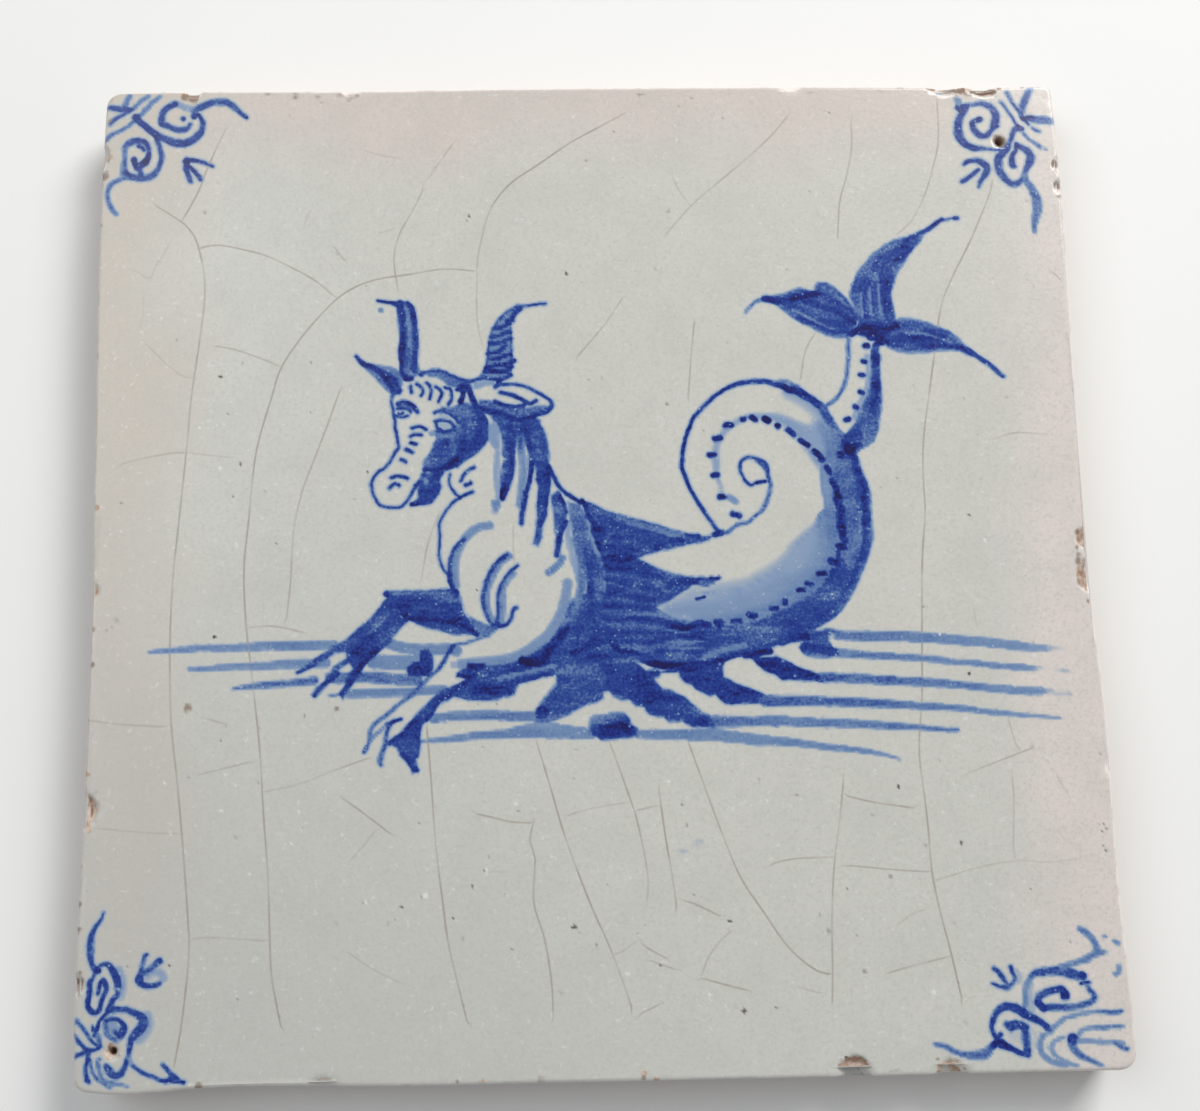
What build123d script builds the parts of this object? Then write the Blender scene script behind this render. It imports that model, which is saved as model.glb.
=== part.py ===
from build123d import *

import math
import os

# A hand-cut, tin-glazed earthenware wall tile, lying on its back with the glazed face up.
# The clay was rolled out, dried until firm and trimmed round a square template with a knife held
# at a slant, so each side wanders a little and leans in towards the back. Two nails in opposite
# corners of the template pricked a hole each. The glaze has drawn the front edge round, and use
# has knocked shell-shaped flakes off it. +Z is out of the glazed face, +Y is up the picture.

# Section of the slab
nominal_side = 130.0  # side of the template
thickness = 8.0  # from the flat back to the glazed face
undercut = 0.6  # how far each side leans in from the face to the back
front_round = 0.5  # glazed edge round the face
back_chamfer = 0.4  # worn edge round the back

# Corners of the face
radius_top_left = 2.2
radius_top_right = 1.2
radius_bottom_right = 1.9
radius_bottom_left = 1.6

# How far the knife strayed outwards, at shares of the half side from the side's middle. The left
# and right sides run from the bottom up, the top and bottom from left to right.
stray_left = (
    (-1.0, -0.45), (-0.80, 0.0), (-0.58, -0.25), (-0.30, -0.42), (-0.05, -0.46),
    (0.10, -0.20), (0.30, 0.0), (0.55, 0.32), (0.80, 0.32), (1.0, 0.02),
)  # fmt: skip
stray_right = (
    (-1.0, 0.42), (-0.82, 0.38), (-0.68, 0.06), (-0.46, 0.18), (-0.28, 0.10),
    (-0.12, -0.58), (0.24, -0.52), (0.46, -0.20), (0.80, 0.02), (1.0, -0.30),
)  # fmt: skip
stray_top = (
    (-1.0, 0.45), (-0.76, 0.54), (-0.52, 0.38), (-0.16, 0.48),
    (0.30, 0.38), (0.60, 0.24), (0.79, -0.05), (1.0, 0.10),
)  # fmt: skip
stray_bottom = (
    (-1.0, -0.45), (-0.90, 0.22), (-0.79, -0.18), (-0.46, 0.0),
    (-0.10, 0.22), (0.22, 0.40), (0.62, 0.52), (1.0, 0.62),
)  # fmt: skip

# Holes that the template's nails pricked, each in a shallow spall of the glaze: the corner they
# are near, their distance in from its two nominal sides, and the radius of the spall
nail_radius = 0.6
nail_depth = 2.6
nail_taper = 0.35  # radius of the hole's end, as a share of its mouth
spall_depth = 0.3
upper_nail_inset = (8.15, 8.25)
upper_spall_radius = 0.9
lower_nail_inset = (4.9, 4.9)
lower_spall_radius = 1.05

# Flakes off the glazed edge: the side, the end that the distance along it is measured from,
# that distance, the length along the edge, the reach into the face and the drop down the side
flakes = (
    ("top", "left", 11.7, 2.8, 1.4, 0.9),
    ("top", "left", 33.0, 3.0, 1.2, 0.6),
    ("top", "right", 36.5, 3.4, 1.0, 0.6),
    ("top", "right", 15.2, 6.2, 1.3, 0.9),
    ("top", "right", 10.0, 4.8, 1.6, 1.1),
    ("left", "top", 9.0, 4.4, 1.2, 0.8),
    ("left", "bottom", 61.7, 2.2, 1.0, 0.6),
    ("left", "bottom", 34.0, 4.6, 1.9, 1.2),
    ("left", "bottom", 12.9, 2.8, 1.3, 0.9),
    ("right", "top", 11.8, 2.8, 1.1, 0.6),
    ("right", "top", 14.9, 2.3, 1.1, 0.6),
    ("right", "bottom", 66.2, 3.2, 1.6, 0.7),
    ("right", "bottom", 61.3, 5.2, 2.0, 1.0),
    ("right", "bottom", 36.4, 2.1, 1.0, 0.7),
    ("bottom", "left", 30.4, 4.8, 1.3, 0.8),
    ("bottom", "right", 34.5, 3.9, 2.6, 1.3),
    ("bottom", "right", 22.6, 4.7, 1.9, 1.1),
)

half_side = nominal_side / 2
strays = {"left": stray_left, "right": stray_right, "top": stray_top, "bottom": stray_bottom}
outward = {"left": (-1, 0), "right": (1, 0), "top": (0, 1), "bottom": (0, -1)}
corner_radii = {
    (-1, 1): radius_top_left,
    (1, 1): radius_top_right,
    (1, -1): radius_bottom_right,
    (-1, -1): radius_bottom_left,
}


def edge_point(side, share, stray, inset=0.0):
    """A point of the cut edge, at a share of the half side from the side's middle."""
    out_x, out_y = outward[side]
    along = share * (half_side - inset)
    out = half_side + stray - inset
    return (out_x * out + abs(out_y) * along, out_y * out + abs(out_x) * along)


def corner_point(sign_x, sign_y, inset):
    """Where two sides would meet if the corner were sharp."""
    level = strays["top" if sign_y > 0 else "bottom"]
    upright = strays["right" if sign_x > 0 else "left"]
    stray_x = upright[-1 if sign_y > 0 else 0][1]
    stray_y = level[-1 if sign_x > 0 else 0][1]
    return (sign_x * (half_side + stray_x - inset), sign_y * (half_side + stray_y - inset))


def stray_at(side, share):
    """How far a side strays between the stations where its stray is given."""
    stations = strays[side]
    for (share_a, stray_a), (share_b, stray_b) in zip(stations, stations[1:]):
        if share <= share_b:
            return stray_a + (stray_b - stray_a) * (share - share_a) / (share_b - share_a)
    return stations[-1][1]


def cut_outline(inset):
    """The outline that the knife cut, brought in by the inset."""
    with BuildLine() as cut:
        for side in outward:
            between = [edge_point(side, share, stray, inset) for share, stray in strays[side][1:-1]]
            start = corner_point(*(value or -1 for value in outward[side]), inset)
            end = corner_point(*(value or 1 for value in outward[side]), inset)
            Spline(start, *between, end)
    make_face(cut.edges())


def round_corners(outline):
    """Rounds each corner of an outline by its own radius."""
    for (sign_x, sign_y), radius in corner_radii.items():
        beyond = (sign_x * nominal_side, sign_y * nominal_side, 0)
        fillet(outline.vertices().sort_by_distance(beyond)[0], radius)


def nail_hole(sign_x, sign_y, inset, spall_radius):
    """A pricked hole that narrows to its end, in a shallow spall."""
    x = sign_x * (half_side - inset[0])
    y = sign_y * (half_side - inset[1])
    ball_radius = (spall_radius**2 + spall_depth**2) / (2 * spall_depth)
    with Locations((x, y, thickness - spall_depth + ball_radius)):
        Sphere(ball_radius, mode=Mode.SUBTRACT)
    with Locations((x, y, thickness - nail_depth / 2)):
        Cone(nail_radius * nail_taper, nail_radius, nail_depth, mode=Mode.SUBTRACT)


def knock_off(side, end, distance, length, reach, drop):
    """A flake off the front edge, as the bite of a ball through its four outermost points."""
    end_sign = 1 if end in ("right", "top") else -1
    share = end_sign * (half_side - distance) / half_side
    x, y = edge_point(side, share, stray_at(side, share))
    ball_out = (length**2 / 4 - reach**2) / (2 * reach)
    ball_up = (length**2 / 4 - drop**2) / (2 * drop)
    out_x, out_y = outward[side]
    centre = (x + out_x * ball_out, y + out_y * ball_out, thickness + ball_up)
    turn = math.degrees(math.atan2(out_y, out_x))
    with Locations(Location(centre, (0, 0, turn))):
        Sphere(math.hypot(ball_out, ball_up, length / 2), mode=Mode.SUBTRACT)


with BuildPart() as tile:
    # The slab, wider at the face than at the back
    with BuildSketch(Plane.XY) as back_outline:
        cut_outline(undercut)
        round_corners(back_outline)
    with BuildSketch(Plane.XY.offset(thickness)) as face_outline:
        cut_outline(0.0)
        round_corners(face_outline)
    loft(ruled=True)

    # The glaze rounds the front edge, and the back edge is worn
    glazed_face = tile.faces().sort_by(Axis.Z)[-1]
    fillet(glazed_face.edges(), front_round)
    back_face = tile.faces().sort_by(Axis.Z)[0]
    chamfer(back_face.edges(), back_chamfer)

    nail_hole(1, 1, upper_nail_inset, upper_spall_radius)
    nail_hole(-1, -1, lower_nail_inset, lower_spall_radius)
    for flake in flakes:
        knock_off(*flake)

tile.part.label = "tile"
os.makedirs("parts", exist_ok=True)
export_step(tile.part, "parts/tile.step")
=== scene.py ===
import math

import bpy
import numpy as np
from mathutils import Matrix, Vector
from mathutils.bvhtree import BVHTree
from mathutils.geometry import delaunay_2d_cdt


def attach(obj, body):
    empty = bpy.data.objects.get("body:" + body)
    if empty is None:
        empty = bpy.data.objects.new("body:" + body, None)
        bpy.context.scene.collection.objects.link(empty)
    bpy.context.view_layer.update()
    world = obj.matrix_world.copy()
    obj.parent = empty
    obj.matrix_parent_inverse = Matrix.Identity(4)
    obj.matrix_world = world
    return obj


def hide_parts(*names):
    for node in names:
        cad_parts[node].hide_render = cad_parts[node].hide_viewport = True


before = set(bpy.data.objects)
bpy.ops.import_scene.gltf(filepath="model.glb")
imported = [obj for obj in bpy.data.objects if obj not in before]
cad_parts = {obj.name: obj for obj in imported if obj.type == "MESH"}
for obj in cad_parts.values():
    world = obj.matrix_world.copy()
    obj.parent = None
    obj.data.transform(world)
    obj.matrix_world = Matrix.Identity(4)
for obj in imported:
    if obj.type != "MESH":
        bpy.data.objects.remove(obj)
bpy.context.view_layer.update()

# Lengths here are in millimetres, in the frame of the CAD, until a mesh is made
metre = 0.001
face_height = 8.0
half_side = 65.0
far_away = 9.0  # stands for every larger distance, and lies beyond every contrast

# Grid that the painting is worked out on, with tones from 0 for none to 1 for the darkest
raster_step = 0.15
raster_reach = 66.0

# The brush, and how its paint bleeds into the glaze
shake = 0.06
shake_lumps = (0.5, 1.4)  # sizes of the fine and of the coarse shake
line_spread = 0.04  # how far a line spreads past its width
bleed_strength = 0.3
bleed_full_tone = 0.7  # darker paint bleeds no more than this
bleed_reach = 0.3
stroke_reach = 1.2  # how far past its outline a stroke is worked out

# Soft outline of the spine's dots, along and across them, and the shortest dot
dot_rim = 0.25
dot_rim_across = 0.1
shortest_dot = 0.2

# Soft rims of the specks, flecks, stains and bare patches
speck_rim = 0.09
fleck_rim = 0.1
stain_rim = 0.45
patch_rim = 0.15

# Mesh of the face
cell_steps = (8, 4, 2, 1)  # widths of its cells, in steps of the raster
split_contrast = (0.085, 0.21, 0.5)  # past which a cell is split, for all widths but the last
ring_gap = 0.12  # from the rim to the nearest point inside it
flake_band = 61.6  # flakes cut the face beyond this distance from the middle
nail_zones = ((56.85, 56.75, 1.3), (-60.1, -60.1, 1.4))  # round the nail holes: x, y, radius
upper_part = 5.0  # height above which there is paint and wear

# Mesh of the back
back_reach = 60
back_step = 6.0


def area(tone, *points, edge=0.17):
    """A filled shape of one tone, with a soft edge."""
    return {"kind": "area", "tone": tone, "points": points, "edge": edge}


def line(tone, width, *points, edge=0.15):
    """A brush line. Its width is one number, or one for each point."""
    return {"kind": "line", "tone": tone, "width": width, "points": points, "edge": edge}


def fading(first, last, widths, *points):
    """Short brush lines end to end, whose tone changes evenly from the first to the last."""
    count = len(points) - 1
    return tuple(
        line(first + (last - first) * k / count, widths[k:k + 2], *points[k:k + 2])
        for k in range(count)
    )


def dot(tone, radius, x, y, edge=0.12):
    """A round touch of the brush."""
    return line(tone, 2 * radius, (x, y), (x + 0.01, y), edge=edge)


def spine_dot(tone, width, start, end):
    """A dot given by the ends of its soft outline, which reach past the brush's own two ends."""
    length = math.dist(start, end)
    share = max(length - 2 * dot_rim, shortest_dot) / length
    middle = [(a + b) / 2 for a, b in zip(start, end)]
    ends = [tuple(m + (p - m) * share for m, p in zip(middle, place)) for place in (start, end)]
    return line(tone, width - dot_rim_across, *ends)


def retoned(change, strokes):
    """The same strokes with deeper paint, or with paler paint where the change is negative."""
    return tuple(
        {**stroke, "tone": min(stroke["tone"] + change, 1.0)} if stroke["tone"] > 0 else stroke
        for stroke in strokes
    )


# The beast's left horn, ear and head
left_horn = (
    area(0.55, (-27.2, 34.9), (-24.2, 35), (-23.3, 34.1), (-23.2, 32.8), (-23, 31), (-22.9, 28.8),
         (-22.9, 27.2), (-22.8, 25.9), (-22.4, 25.1), (-23.6, 24.2), (-24.9, 24.3), (-25, 25.1),
         (-25.3, 26.4), (-25.4, 28), (-25.3, 30.1), (-25.5, 32), (-25.6, 33.6), (-25.7, 34.5)),
    line(0.42, 0.45, (-24.5, 34.2), (-24.3, 33.2), (-24, 31.5), (-23.9, 30), (-23.9, 28.8)),
    line(0.85, (0.35, 0.35, 0.4, 0.5), (-28.2, 35.06), (-27.2, 34.9), (-26.4, 34.7), (-25.7, 34.5)),
    line(0.85, (0.9, 0.85, 0.8, 0.8, 0.7, 0.5, 0.5), (-25.2, 34.6), (-25, 33), (-24.8, 31),
         (-24.8, 29.5), (-24.9, 28), (-25, 26.5), (-24.9, 25)),
    line(0.85, 0.6, (-24.2, 34.6), (-23.6, 34), (-23.4, 33), (-23.2, 31.5), (-23.1, 30),
         (-23.1, 28.5), (-23.2, 27), (-23.3, 26), (-23.5, 25.2)),
    dot(0.5, 0.2, -27.7, 33.75),
    line(0.93, 0.5, (-24.9, 25), (-24.6, 24.4), (-24.2, 24.2), (-23.7, 24.25)),
    dot(0.93, 0.35, -24.5, 24.3),
    dot(0.93, 0.32, -22.5, 24.8),
    dot(0.3, 0.22, -23.7, 25),
)
left_ear = (
    area(0.48, (-31, 27.5), (-29.6, 26.6), (-28, 26.2), (-26.8, 26), (-25.8, 25.6), (-25.1, 25.2),
         (-24.9, 24.3), (-24.8, 23.6), (-25.3, 22.3), (-26.2, 22), (-27, 22.7), (-27.9, 23.6),
         (-28.5, 24.4), (-29.4, 25.3), (-30.2, 26), (-30.8, 27)),
    dot(0.2, 0.3, -26.2, 23.2),
    line(0.9, (0.35, 0.5, 0.55, 0.6, 0.65, 0.7, 0.6, 0.5, 0.5), (-30.95, 27.4), (-30.4, 26.7),
         (-29.7, 26.2), (-28.8, 25.9), (-27.8, 25.3), (-27.2, 24.6), (-26.7, 23.8), (-26.2, 22.9),
         (-26, 22.3)),
    line(0.8, 0.5, (-27.2, 25), (-26.4, 24.5), (-25.8, 24.1)),
    line(0.8, 0.5, (-26.2, 24), (-25.6, 23.3), (-25.2, 22.6)),
    dot(0.85, 0.35, -25.4, 22.5),
)
forehead = (
    area(0.55, (-21.8, 24.9), (-20.5, 25.1), (-19, 24.9), (-17.5, 24.1), (-16, 23.6), (-15.6, 23),
         (-15.5, 21.5), (-17.2, 22.9), (-18.2, 23), (-18.9, 23.2), (-19.4, 23.8), (-20.2, 24.3),
         (-21.5, 24.4)),
    line(0.8, 0.4, (-22.4, 25), (-21.6, 25.05), (-20.6, 25.25), (-19.3, 25), (-18.4, 24.6),
         (-17.2, 24), (-16.3, 23.75), (-15.3, 23.85)),
    line(0.8, 0.4, (-23.75, 23.2), (-23.65, 22.35)),
    line(0.8, 0.38, (-23, 23.5), (-22.4, 23), (-22.2, 22.5), (-22.45, 21.9)),
    line(0.8, 0.38, (-21.7, 23.6), (-21.25, 23.1), (-21.1, 22.4), (-21.3, 21.4)),
    line(0.8, 0.38, (-20.5, 23), (-20, 22.7), (-19.7, 22.05), (-20.1, 21)),
    line(0.8, 0.36, (-19.3, 22.95), (-18.6, 22.8), (-18.4, 22.05), (-18.5, 21.25), (-18.85, 20.6)),
)
cheek = (
    area(0.6, (-19.8, 20.4), (-18.5, 20.2), (-17, 20.9), (-15.8, 20.7), (-15.1, 19), (-14.2, 17.6),
         (-14, 16), (-14.8, 14.6), (-16, 13.6), (-17.3, 12.8), (-18.5, 11.9), (-19.4, 11.7),
         (-20.6, 11.9), (-22.2, 11.7), (-22.2, 13), (-21.3, 14), (-20.9, 15.2), (-20.4, 16),
         (-21, 16.9), (-20.4, 17.4)),
    line(0.74, 1.0, (-17, 14.5), (-16.8, 16), (-16.8, 18)),
    line(0.78, (0.8, 1.2, 1.2, 0.8), (-15.3, 19.8), (-14.7, 17.6), (-15.6, 15.3), (-18.3, 12.8),
         edge=0.4),
    line(0.44, 0.5, (-19.7, 16.7), (-18.4, 15.2), (-18.2, 13.6), edge=0.3),
    dot(0.76, 0.6, -19.2, 15.5),
    dot(0.4, 0.35, -17.5, 18),
    dot(0.35, 0.35, -21, 16.7),
    area(0.0, (-20.8, 19.3), (-19.6, 19.6), (-18.6, 19.2), (-17.8, 18.3), (-18.1, 17.4),
         (-19.2, 17.1), (-20.2, 17.2), (-20.6, 18)),
    line(0.9, 0.5, (-17.7, 22.7), (-17.2, 22.6), (-16.9, 21.9), (-17.2, 20.8)),
    line(0.9, 0.6, (-17.3, 21), (-17, 21.6), (-16.8, 22.7)),
    line(0.92, 0.7, (-17.1, 22.9), (-16.5, 23), (-16, 22.3), (-15.7, 21.3), (-15.3, 20.5),
         (-14.9, 19.8), (-14.4, 19), (-14, 18.2), (-13.9, 17.4)),
    line(0.7, 0.45, (-14.1, 18), (-13.7, 17), (-13.8, 16), (-14.6, 14.8), (-15.4, 14.1),
         (-16.8, 13.1), (-17.75, 12.3)),
)
eyes = (
    area(0.5, (-25.5, 20.8), (-24.8, 21.1), (-24, 20.9), (-23.3, 20.4), (-22.85, 19.65),
         (-23.6, 19.7), (-24.1, 19.95), (-24.8, 20.2), (-25.6, 20.2)),
    line(0.8, 0.45, (-25.5, 20.8), (-24.8, 21.1), (-24, 20.9), (-23.3, 20.4), (-22.85, 19.65)),
    line(0.7, 0.3, (-25.6, 20.2), (-24.8, 20.2), (-24.1, 19.95), (-23.7, 19.6)),
    line(0.9, 0.38, (-25.2, 19.55), (-24.75, 19.6)),
    line(0.8, 0.32, (-25.7, 19.2), (-24.9, 19.05), (-24.1, 19.15)),
    line(0.85, 0.4, (-20.7, 19.5), (-20.3, 19.7), (-19.5, 19.75), (-18.7, 19.4), (-18, 18.8),
         (-17.5, 18.1)),
    line(0.85, 0.38, (-20.6, 18.35), (-19.8, 18.5), (-18.85, 18.3), (-18.2, 17.8), (-18.1, 17.25)),
    line(0.85, 0.4, (-20.55, 18.3), (-20.4, 17.6), (-20.1, 17)),
    line(0.9, 0.45, (-20.1, 17.1), (-19.3, 16.95), (-18.5, 17.1), (-18.1, 17.35)),
    dot(0.9, 0.3, -19.9, 17.1),
)
profile = (
    line(0.75, 0.35, (-26, 22.2), (-26.3, 21.4), (-26.2, 20.6), (-26, 19.8), (-25.9, 18.7),
         (-25.8, 17.6), (-25.6, 16.6), (-25.5, 15.6), (-25.4, 14.9), (-25.9, 14.15),
         (-26.3, 13.3), (-27, 12.3), (-27.8, 11.7), (-28.5, 10.95), (-28.85, 10.2), (-28.8, 9.4),
         (-28.5, 8.5), (-28, 7.5), (-27.35, 7.05), (-26.4, 6.9), (-25.25, 6.95), (-24.55, 7.5),
         (-24, 8.2), (-23.35, 9.25), (-22.6, 10.2)),
    line(0.85, 0.5, (-23.1, 9.8), (-22.5, 10.35)),
    line(0.85, 0.4, (-23.6, 17.5), (-23, 17.7), (-22.4, 17.65), (-21.75, 17.3)),
    line(0.85, 0.38, (-23.8, 16.4), (-23.3, 16.6), (-22.4, 16.6)),
    line(0.85, 0.45, (-23.75, 15.45), (-23.1, 15.25)),
    line(0.85, 0.42, (-24.4, 14.6), (-23.65, 14.3)),
    line(0.85, 0.45, (-25.1, 13.2), (-24.5, 13)),
    line(0.85, 0.42, (-26.4, 10.9), (-25.6, 11.05), (-24.8, 10.95), (-24.2, 10.7)),
    line(0.85, 0.45, (-26.5, 9.5), (-26.2, 9.8), (-25.8, 10.05), (-25.3, 9.8)),
)
jaw = (
    area(0.75, (-22.9, 9.4), (-22.85, 8.1), (-23.8, 7.3), (-22.4, 7), (-21.1, 7.3), (-20.1, 8.5),
         (-19.8, 9.6), (-20, 10.5), (-20.2, 11.3), (-21.2, 11.4), (-22.4, 11.4)),
    area(0.4, (-22.2, 10.8), (-21.7, 10.9), (-21.5, 10.3), (-21.7, 9.7), (-22.1, 9.9)),
    line(0.92, 0.5, (-23.7, 7.3), (-22.8, 7.4), (-22, 7.6)),
    area(0.92, (-22.3, 12), (-21.5, 12.2), (-20.5, 12), (-19.5, 12.4), (-18.7, 13), (-17.8, 13.7),
         (-17.2, 12.9), (-18.2, 12), (-19.3, 11.6), (-20, 10.6), (-20.6, 10.8), (-21.4, 11.6),
         (-22.2, 11.4)),
)

# The right horn and ear, and the mane
right_horn = (
    area(0.42, (-9.6, 34), (-11, 33.35), (-12, 32.4), (-12.8, 31.1), (-13.3, 30.1), (-13.5, 28.8),
         (-13.7, 27.5), (-13.8, 26.2), (-14.2, 25.1), (-15, 24), (-12, 23.9), (-10.6, 24.3),
         (-10.4, 25.3), (-10, 26.4), (-10.4, 27.8), (-10.5, 29.1), (-10.4, 30.1), (-10.5, 31),
         (-10.15, 32), (-9.6, 32.95), (-8.95, 33.6)),
    line(0.65, 0.3, (-15, 24), (-14.3, 24.7), (-13.9, 25.6), (-13.5, 27.3), (-13.4, 28.8),
         (-13.1, 30.2), (-12.7, 31.2), (-12, 32.3), (-11, 33.2), (-9.8, 33.95)),
    line(0.6, 0.3, (-10.5, 31), (-10.4, 28), (-10.5, 26), (-10.6, 24.6)),
    line(0.8, (0.35, 0.3, 0.25, 0.2), (-9.6, 33.95), (-8.5, 34.1), (-7.2, 34.2), (-5.8, 34.4)),
    line(0.85, 0.6, (-9.2, 33.7), (-9.9, 33.1), (-10.3, 32.3)),
    line(0.85, 0.4, (-12.8, 30.95), (-11.8, 31.1), (-11, 31.5), (-10.2, 32)),
    line(0.85, 0.45, (-11, 31.9), (-10.4, 32.15)),
    line(0.85, 0.4, (-13.2, 29.75), (-12.3, 29.9), (-11.5, 30.2), (-10.5, 30.45)),
    line(0.85, 0.4, (-13.4, 28.95), (-12.5, 28.95), (-11.7, 29.1), (-10.5, 29.6)),
    line(0.85, 0.4, (-13.6, 27.5), (-12.8, 27.65), (-12, 27.9), (-11.2, 28.55)),
    line(0.85, 0.4, (-13.1, 26.7), (-12.1, 26.85), (-11.3, 27.2), (-10.5, 27.4)),
    line(0.85, 0.45, (-13.9, 25.6), (-13.1, 25.75), (-12, 25.9), (-11, 26.05), (-10, 26.45)),
    line(0.85, 0.5, (-14, 25.1), (-13.1, 25.1), (-12, 24.95), (-11, 25.2), (-10.4, 25.6)),
    line(0.85, 0.45, (-15, 24), (-14.1, 24.05), (-13.1, 24), (-12, 23.9), (-11.2, 24.15),
         (-10.55, 24.5)),
    line(0.92, 0.5, (-12, 24), (-12.3, 23.3), (-12.7, 22.85)),
)
right_ear = (
    area(0.3, (-15.6, 23.6), (-13, 23.8), (-12.5, 23.1), (-14, 23), (-15.3, 22.6)),
    area(0.6, (-14.8, 21.2), (-13, 21), (-12, 20.3), (-10.5, 19.9), (-9, 20), (-7.5, 20.2),
         (-6.2, 20.3), (-5.4, 20), (-6.5, 19.3), (-8.3, 18.8), (-10, 18.7), (-11.5, 19.2),
         (-13.6, 19.7), (-14.9, 20.2)),
    line(0.8, 0.4, (-12.7, 22.95), (-11.7, 23.25), (-10.4, 23.25), (-9.1, 23), (-7.8, 22.45),
         (-6.7, 21.8), (-5.75, 21.2), (-5.25, 20.6), (-5.25, 20.1), (-5.9, 19.5)),
    line(0.88, 0.58, (-5.4, 20), (-5.9, 19.5), (-7, 19.1), (-8.3, 18.6), (-9.6, 18.45),
         (-10.5, 18.6), (-11.35, 19.1), (-12.3, 19.3), (-13.6, 19.55), (-14.7, 20)),
    line(0.85, 0.5, (-12, 22.15), (-11, 21.9), (-9.75, 21.4), (-8.8, 20.95), (-8.05, 20.6),
         (-7.35, 20.9)),
    line(0.85, 0.5, (-12.6, 20.95), (-11.7, 20.45), (-10.55, 20.15), (-9.4, 20.15), (-8.8, 20.4)),
    line(0.94, 0.6, (-14.6, 20), (-13.4, 19.6), (-12.2, 19.3), (-11.3, 19), (-10.5, 18.6)),
)
mane = (
    area(0.3, (-13.6, 17.9), (-12.6, 18.1), (-12.2, 17), (-12.2, 15.5), (-12, 14.5), (-12.8, 14.2),
         (-13.7, 15.8)),
    line(0.25, 0.7, (-12.5, 14), (-12.6, 11), (-12.5, 8)),
    line(0.4, 0.9, (-9.6, 17.5), (-9.3, 15.5), (-9.2, 13), (-9.1, 11), (-9.4, 9), (-9.6, 7),
         edge=0.3),
    line(0.64, (1.4, 1.1, 0.3), (-9.7, 17.8), (-9.5, 16), (-9.4, 13.8), edge=0.3),
    line(0.68, (1.2, 0.9, 0.3), (-8.1, 17.9), (-8.1, 16), (-7.9, 13.6), edge=0.3),
    area(0.65, (-12.3, 17.6), (-11.9, 16), (-11.75, 14.7), (-11.9, 13.6), (-11.4, 13),
         (-11.8, 12.8), (-12, 11), (-12.15, 9.6), (-12.1, 8.5), (-12, 7.4), (-11.3, 8.1),
         (-10.95, 8.9), (-10.55, 10.1), (-10.2, 11.3), (-10.2, 12.95), (-10, 14.7), (-9.9, 16),
         (-10.15, 17.6), (-10.4, 18.2)),
    line(0.85, 0.8, (-10.7, 18), (-10.6, 16.5), (-10.5, 15), (-10.6, 13.5), (-10.7, 12),
         (-11, 10.5), (-11.5, 9.2), (-11.8, 8)),
    line(0.92, 0.6, (-11.6, 9.6), (-11.8, 8.7), (-11.9, 7.8)),
    area(0.4, (-13.3, 7.6), (-12.2, 7.7), (-12.1, 7), (-12.6, 6), (-13.2, 6.1)),
    line(0.85, (0.95, 0.9, 0.85, 0.75, 0.65, 0.6, 0.55, 0.5, 0.55, 0.6, 0.6, 0.5), (-8.95, 17.9),
         (-8.8, 17), (-8.5, 16), (-8.2, 14.9), (-8.05, 13.6), (-8.05, 12.3), (-8.15, 11),
         (-8.45, 9.75), (-8.8, 8.3), (-9.1, 6.85), (-9.4, 5.6), (-9.5, 4.45)),
    area(0.7, (-8.1, 17.9), (-7.8, 16), (-7.8, 13.6), (-7.5, 11), (-7.2, 9.1), (-7.2, 7.2),
         (-7.4, 5.3), (-7.7, 3), (-8.05, 1.7), (-7.3, 1.4), (-6.85, 2.7), (-6.7, 4), (-6.3, 4.9),
         (-6.2, 6.4), (-5.9, 8.1), (-5.6, 9.6), (-5.8, 11), (-5.65, 13.1), (-5.75, 14.7),
         (-6.05, 16.15), (-6.5, 17.3), (-6.95, 17.9)),
    line(0.88, 0.5, (-5.8, 12), (-5.75, 10.4), (-5.9, 8.8), (-6.2, 7.2), (-6.4, 5.6), (-7, 4.3)),
    line(0.75, 0.35, (-7.35, 10.4), (-7, 9.4), (-7.2, 7.2), (-7.2, 5.6)),
    area(0.62, (-5.5, 8.1), (-5.6, 7.2), (-5.25, 5.9), (-5.2, 4.3), (-5, 2.7), (-5.2, 0.9),
         (-5.25, 0.05), (-4.5, 0.1), (-4.2, 1.9), (-4, 3.2), (-3.6, 4.3), (-3.5, 5.6), (-3.6, 6.7),
         (-4, 7.8), (-4.6, 8.8)),
    line(0.9, 0.4, (-4.45, 8), (-3.8, 6.7), (-3.6, 5.9)),
    line(0.85, 0.6, (-3.7, 4.6), (-4.2, 3.3), (-4.6, 1.9), (-4.9, 0.2)),
    line(0.45, 0.8, (-4.2, -0.2), (-4.6, -0.9), (-5.4, -1.6), (-6.1, -2.1)),
    line(0.85, 0.5, (-5.8, 12), (-5.1, 10.5), (-4.45, 9.3), (-3.8, 8.5), (-2.7, 7.7), (-1.75, 7)),
)

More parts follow.
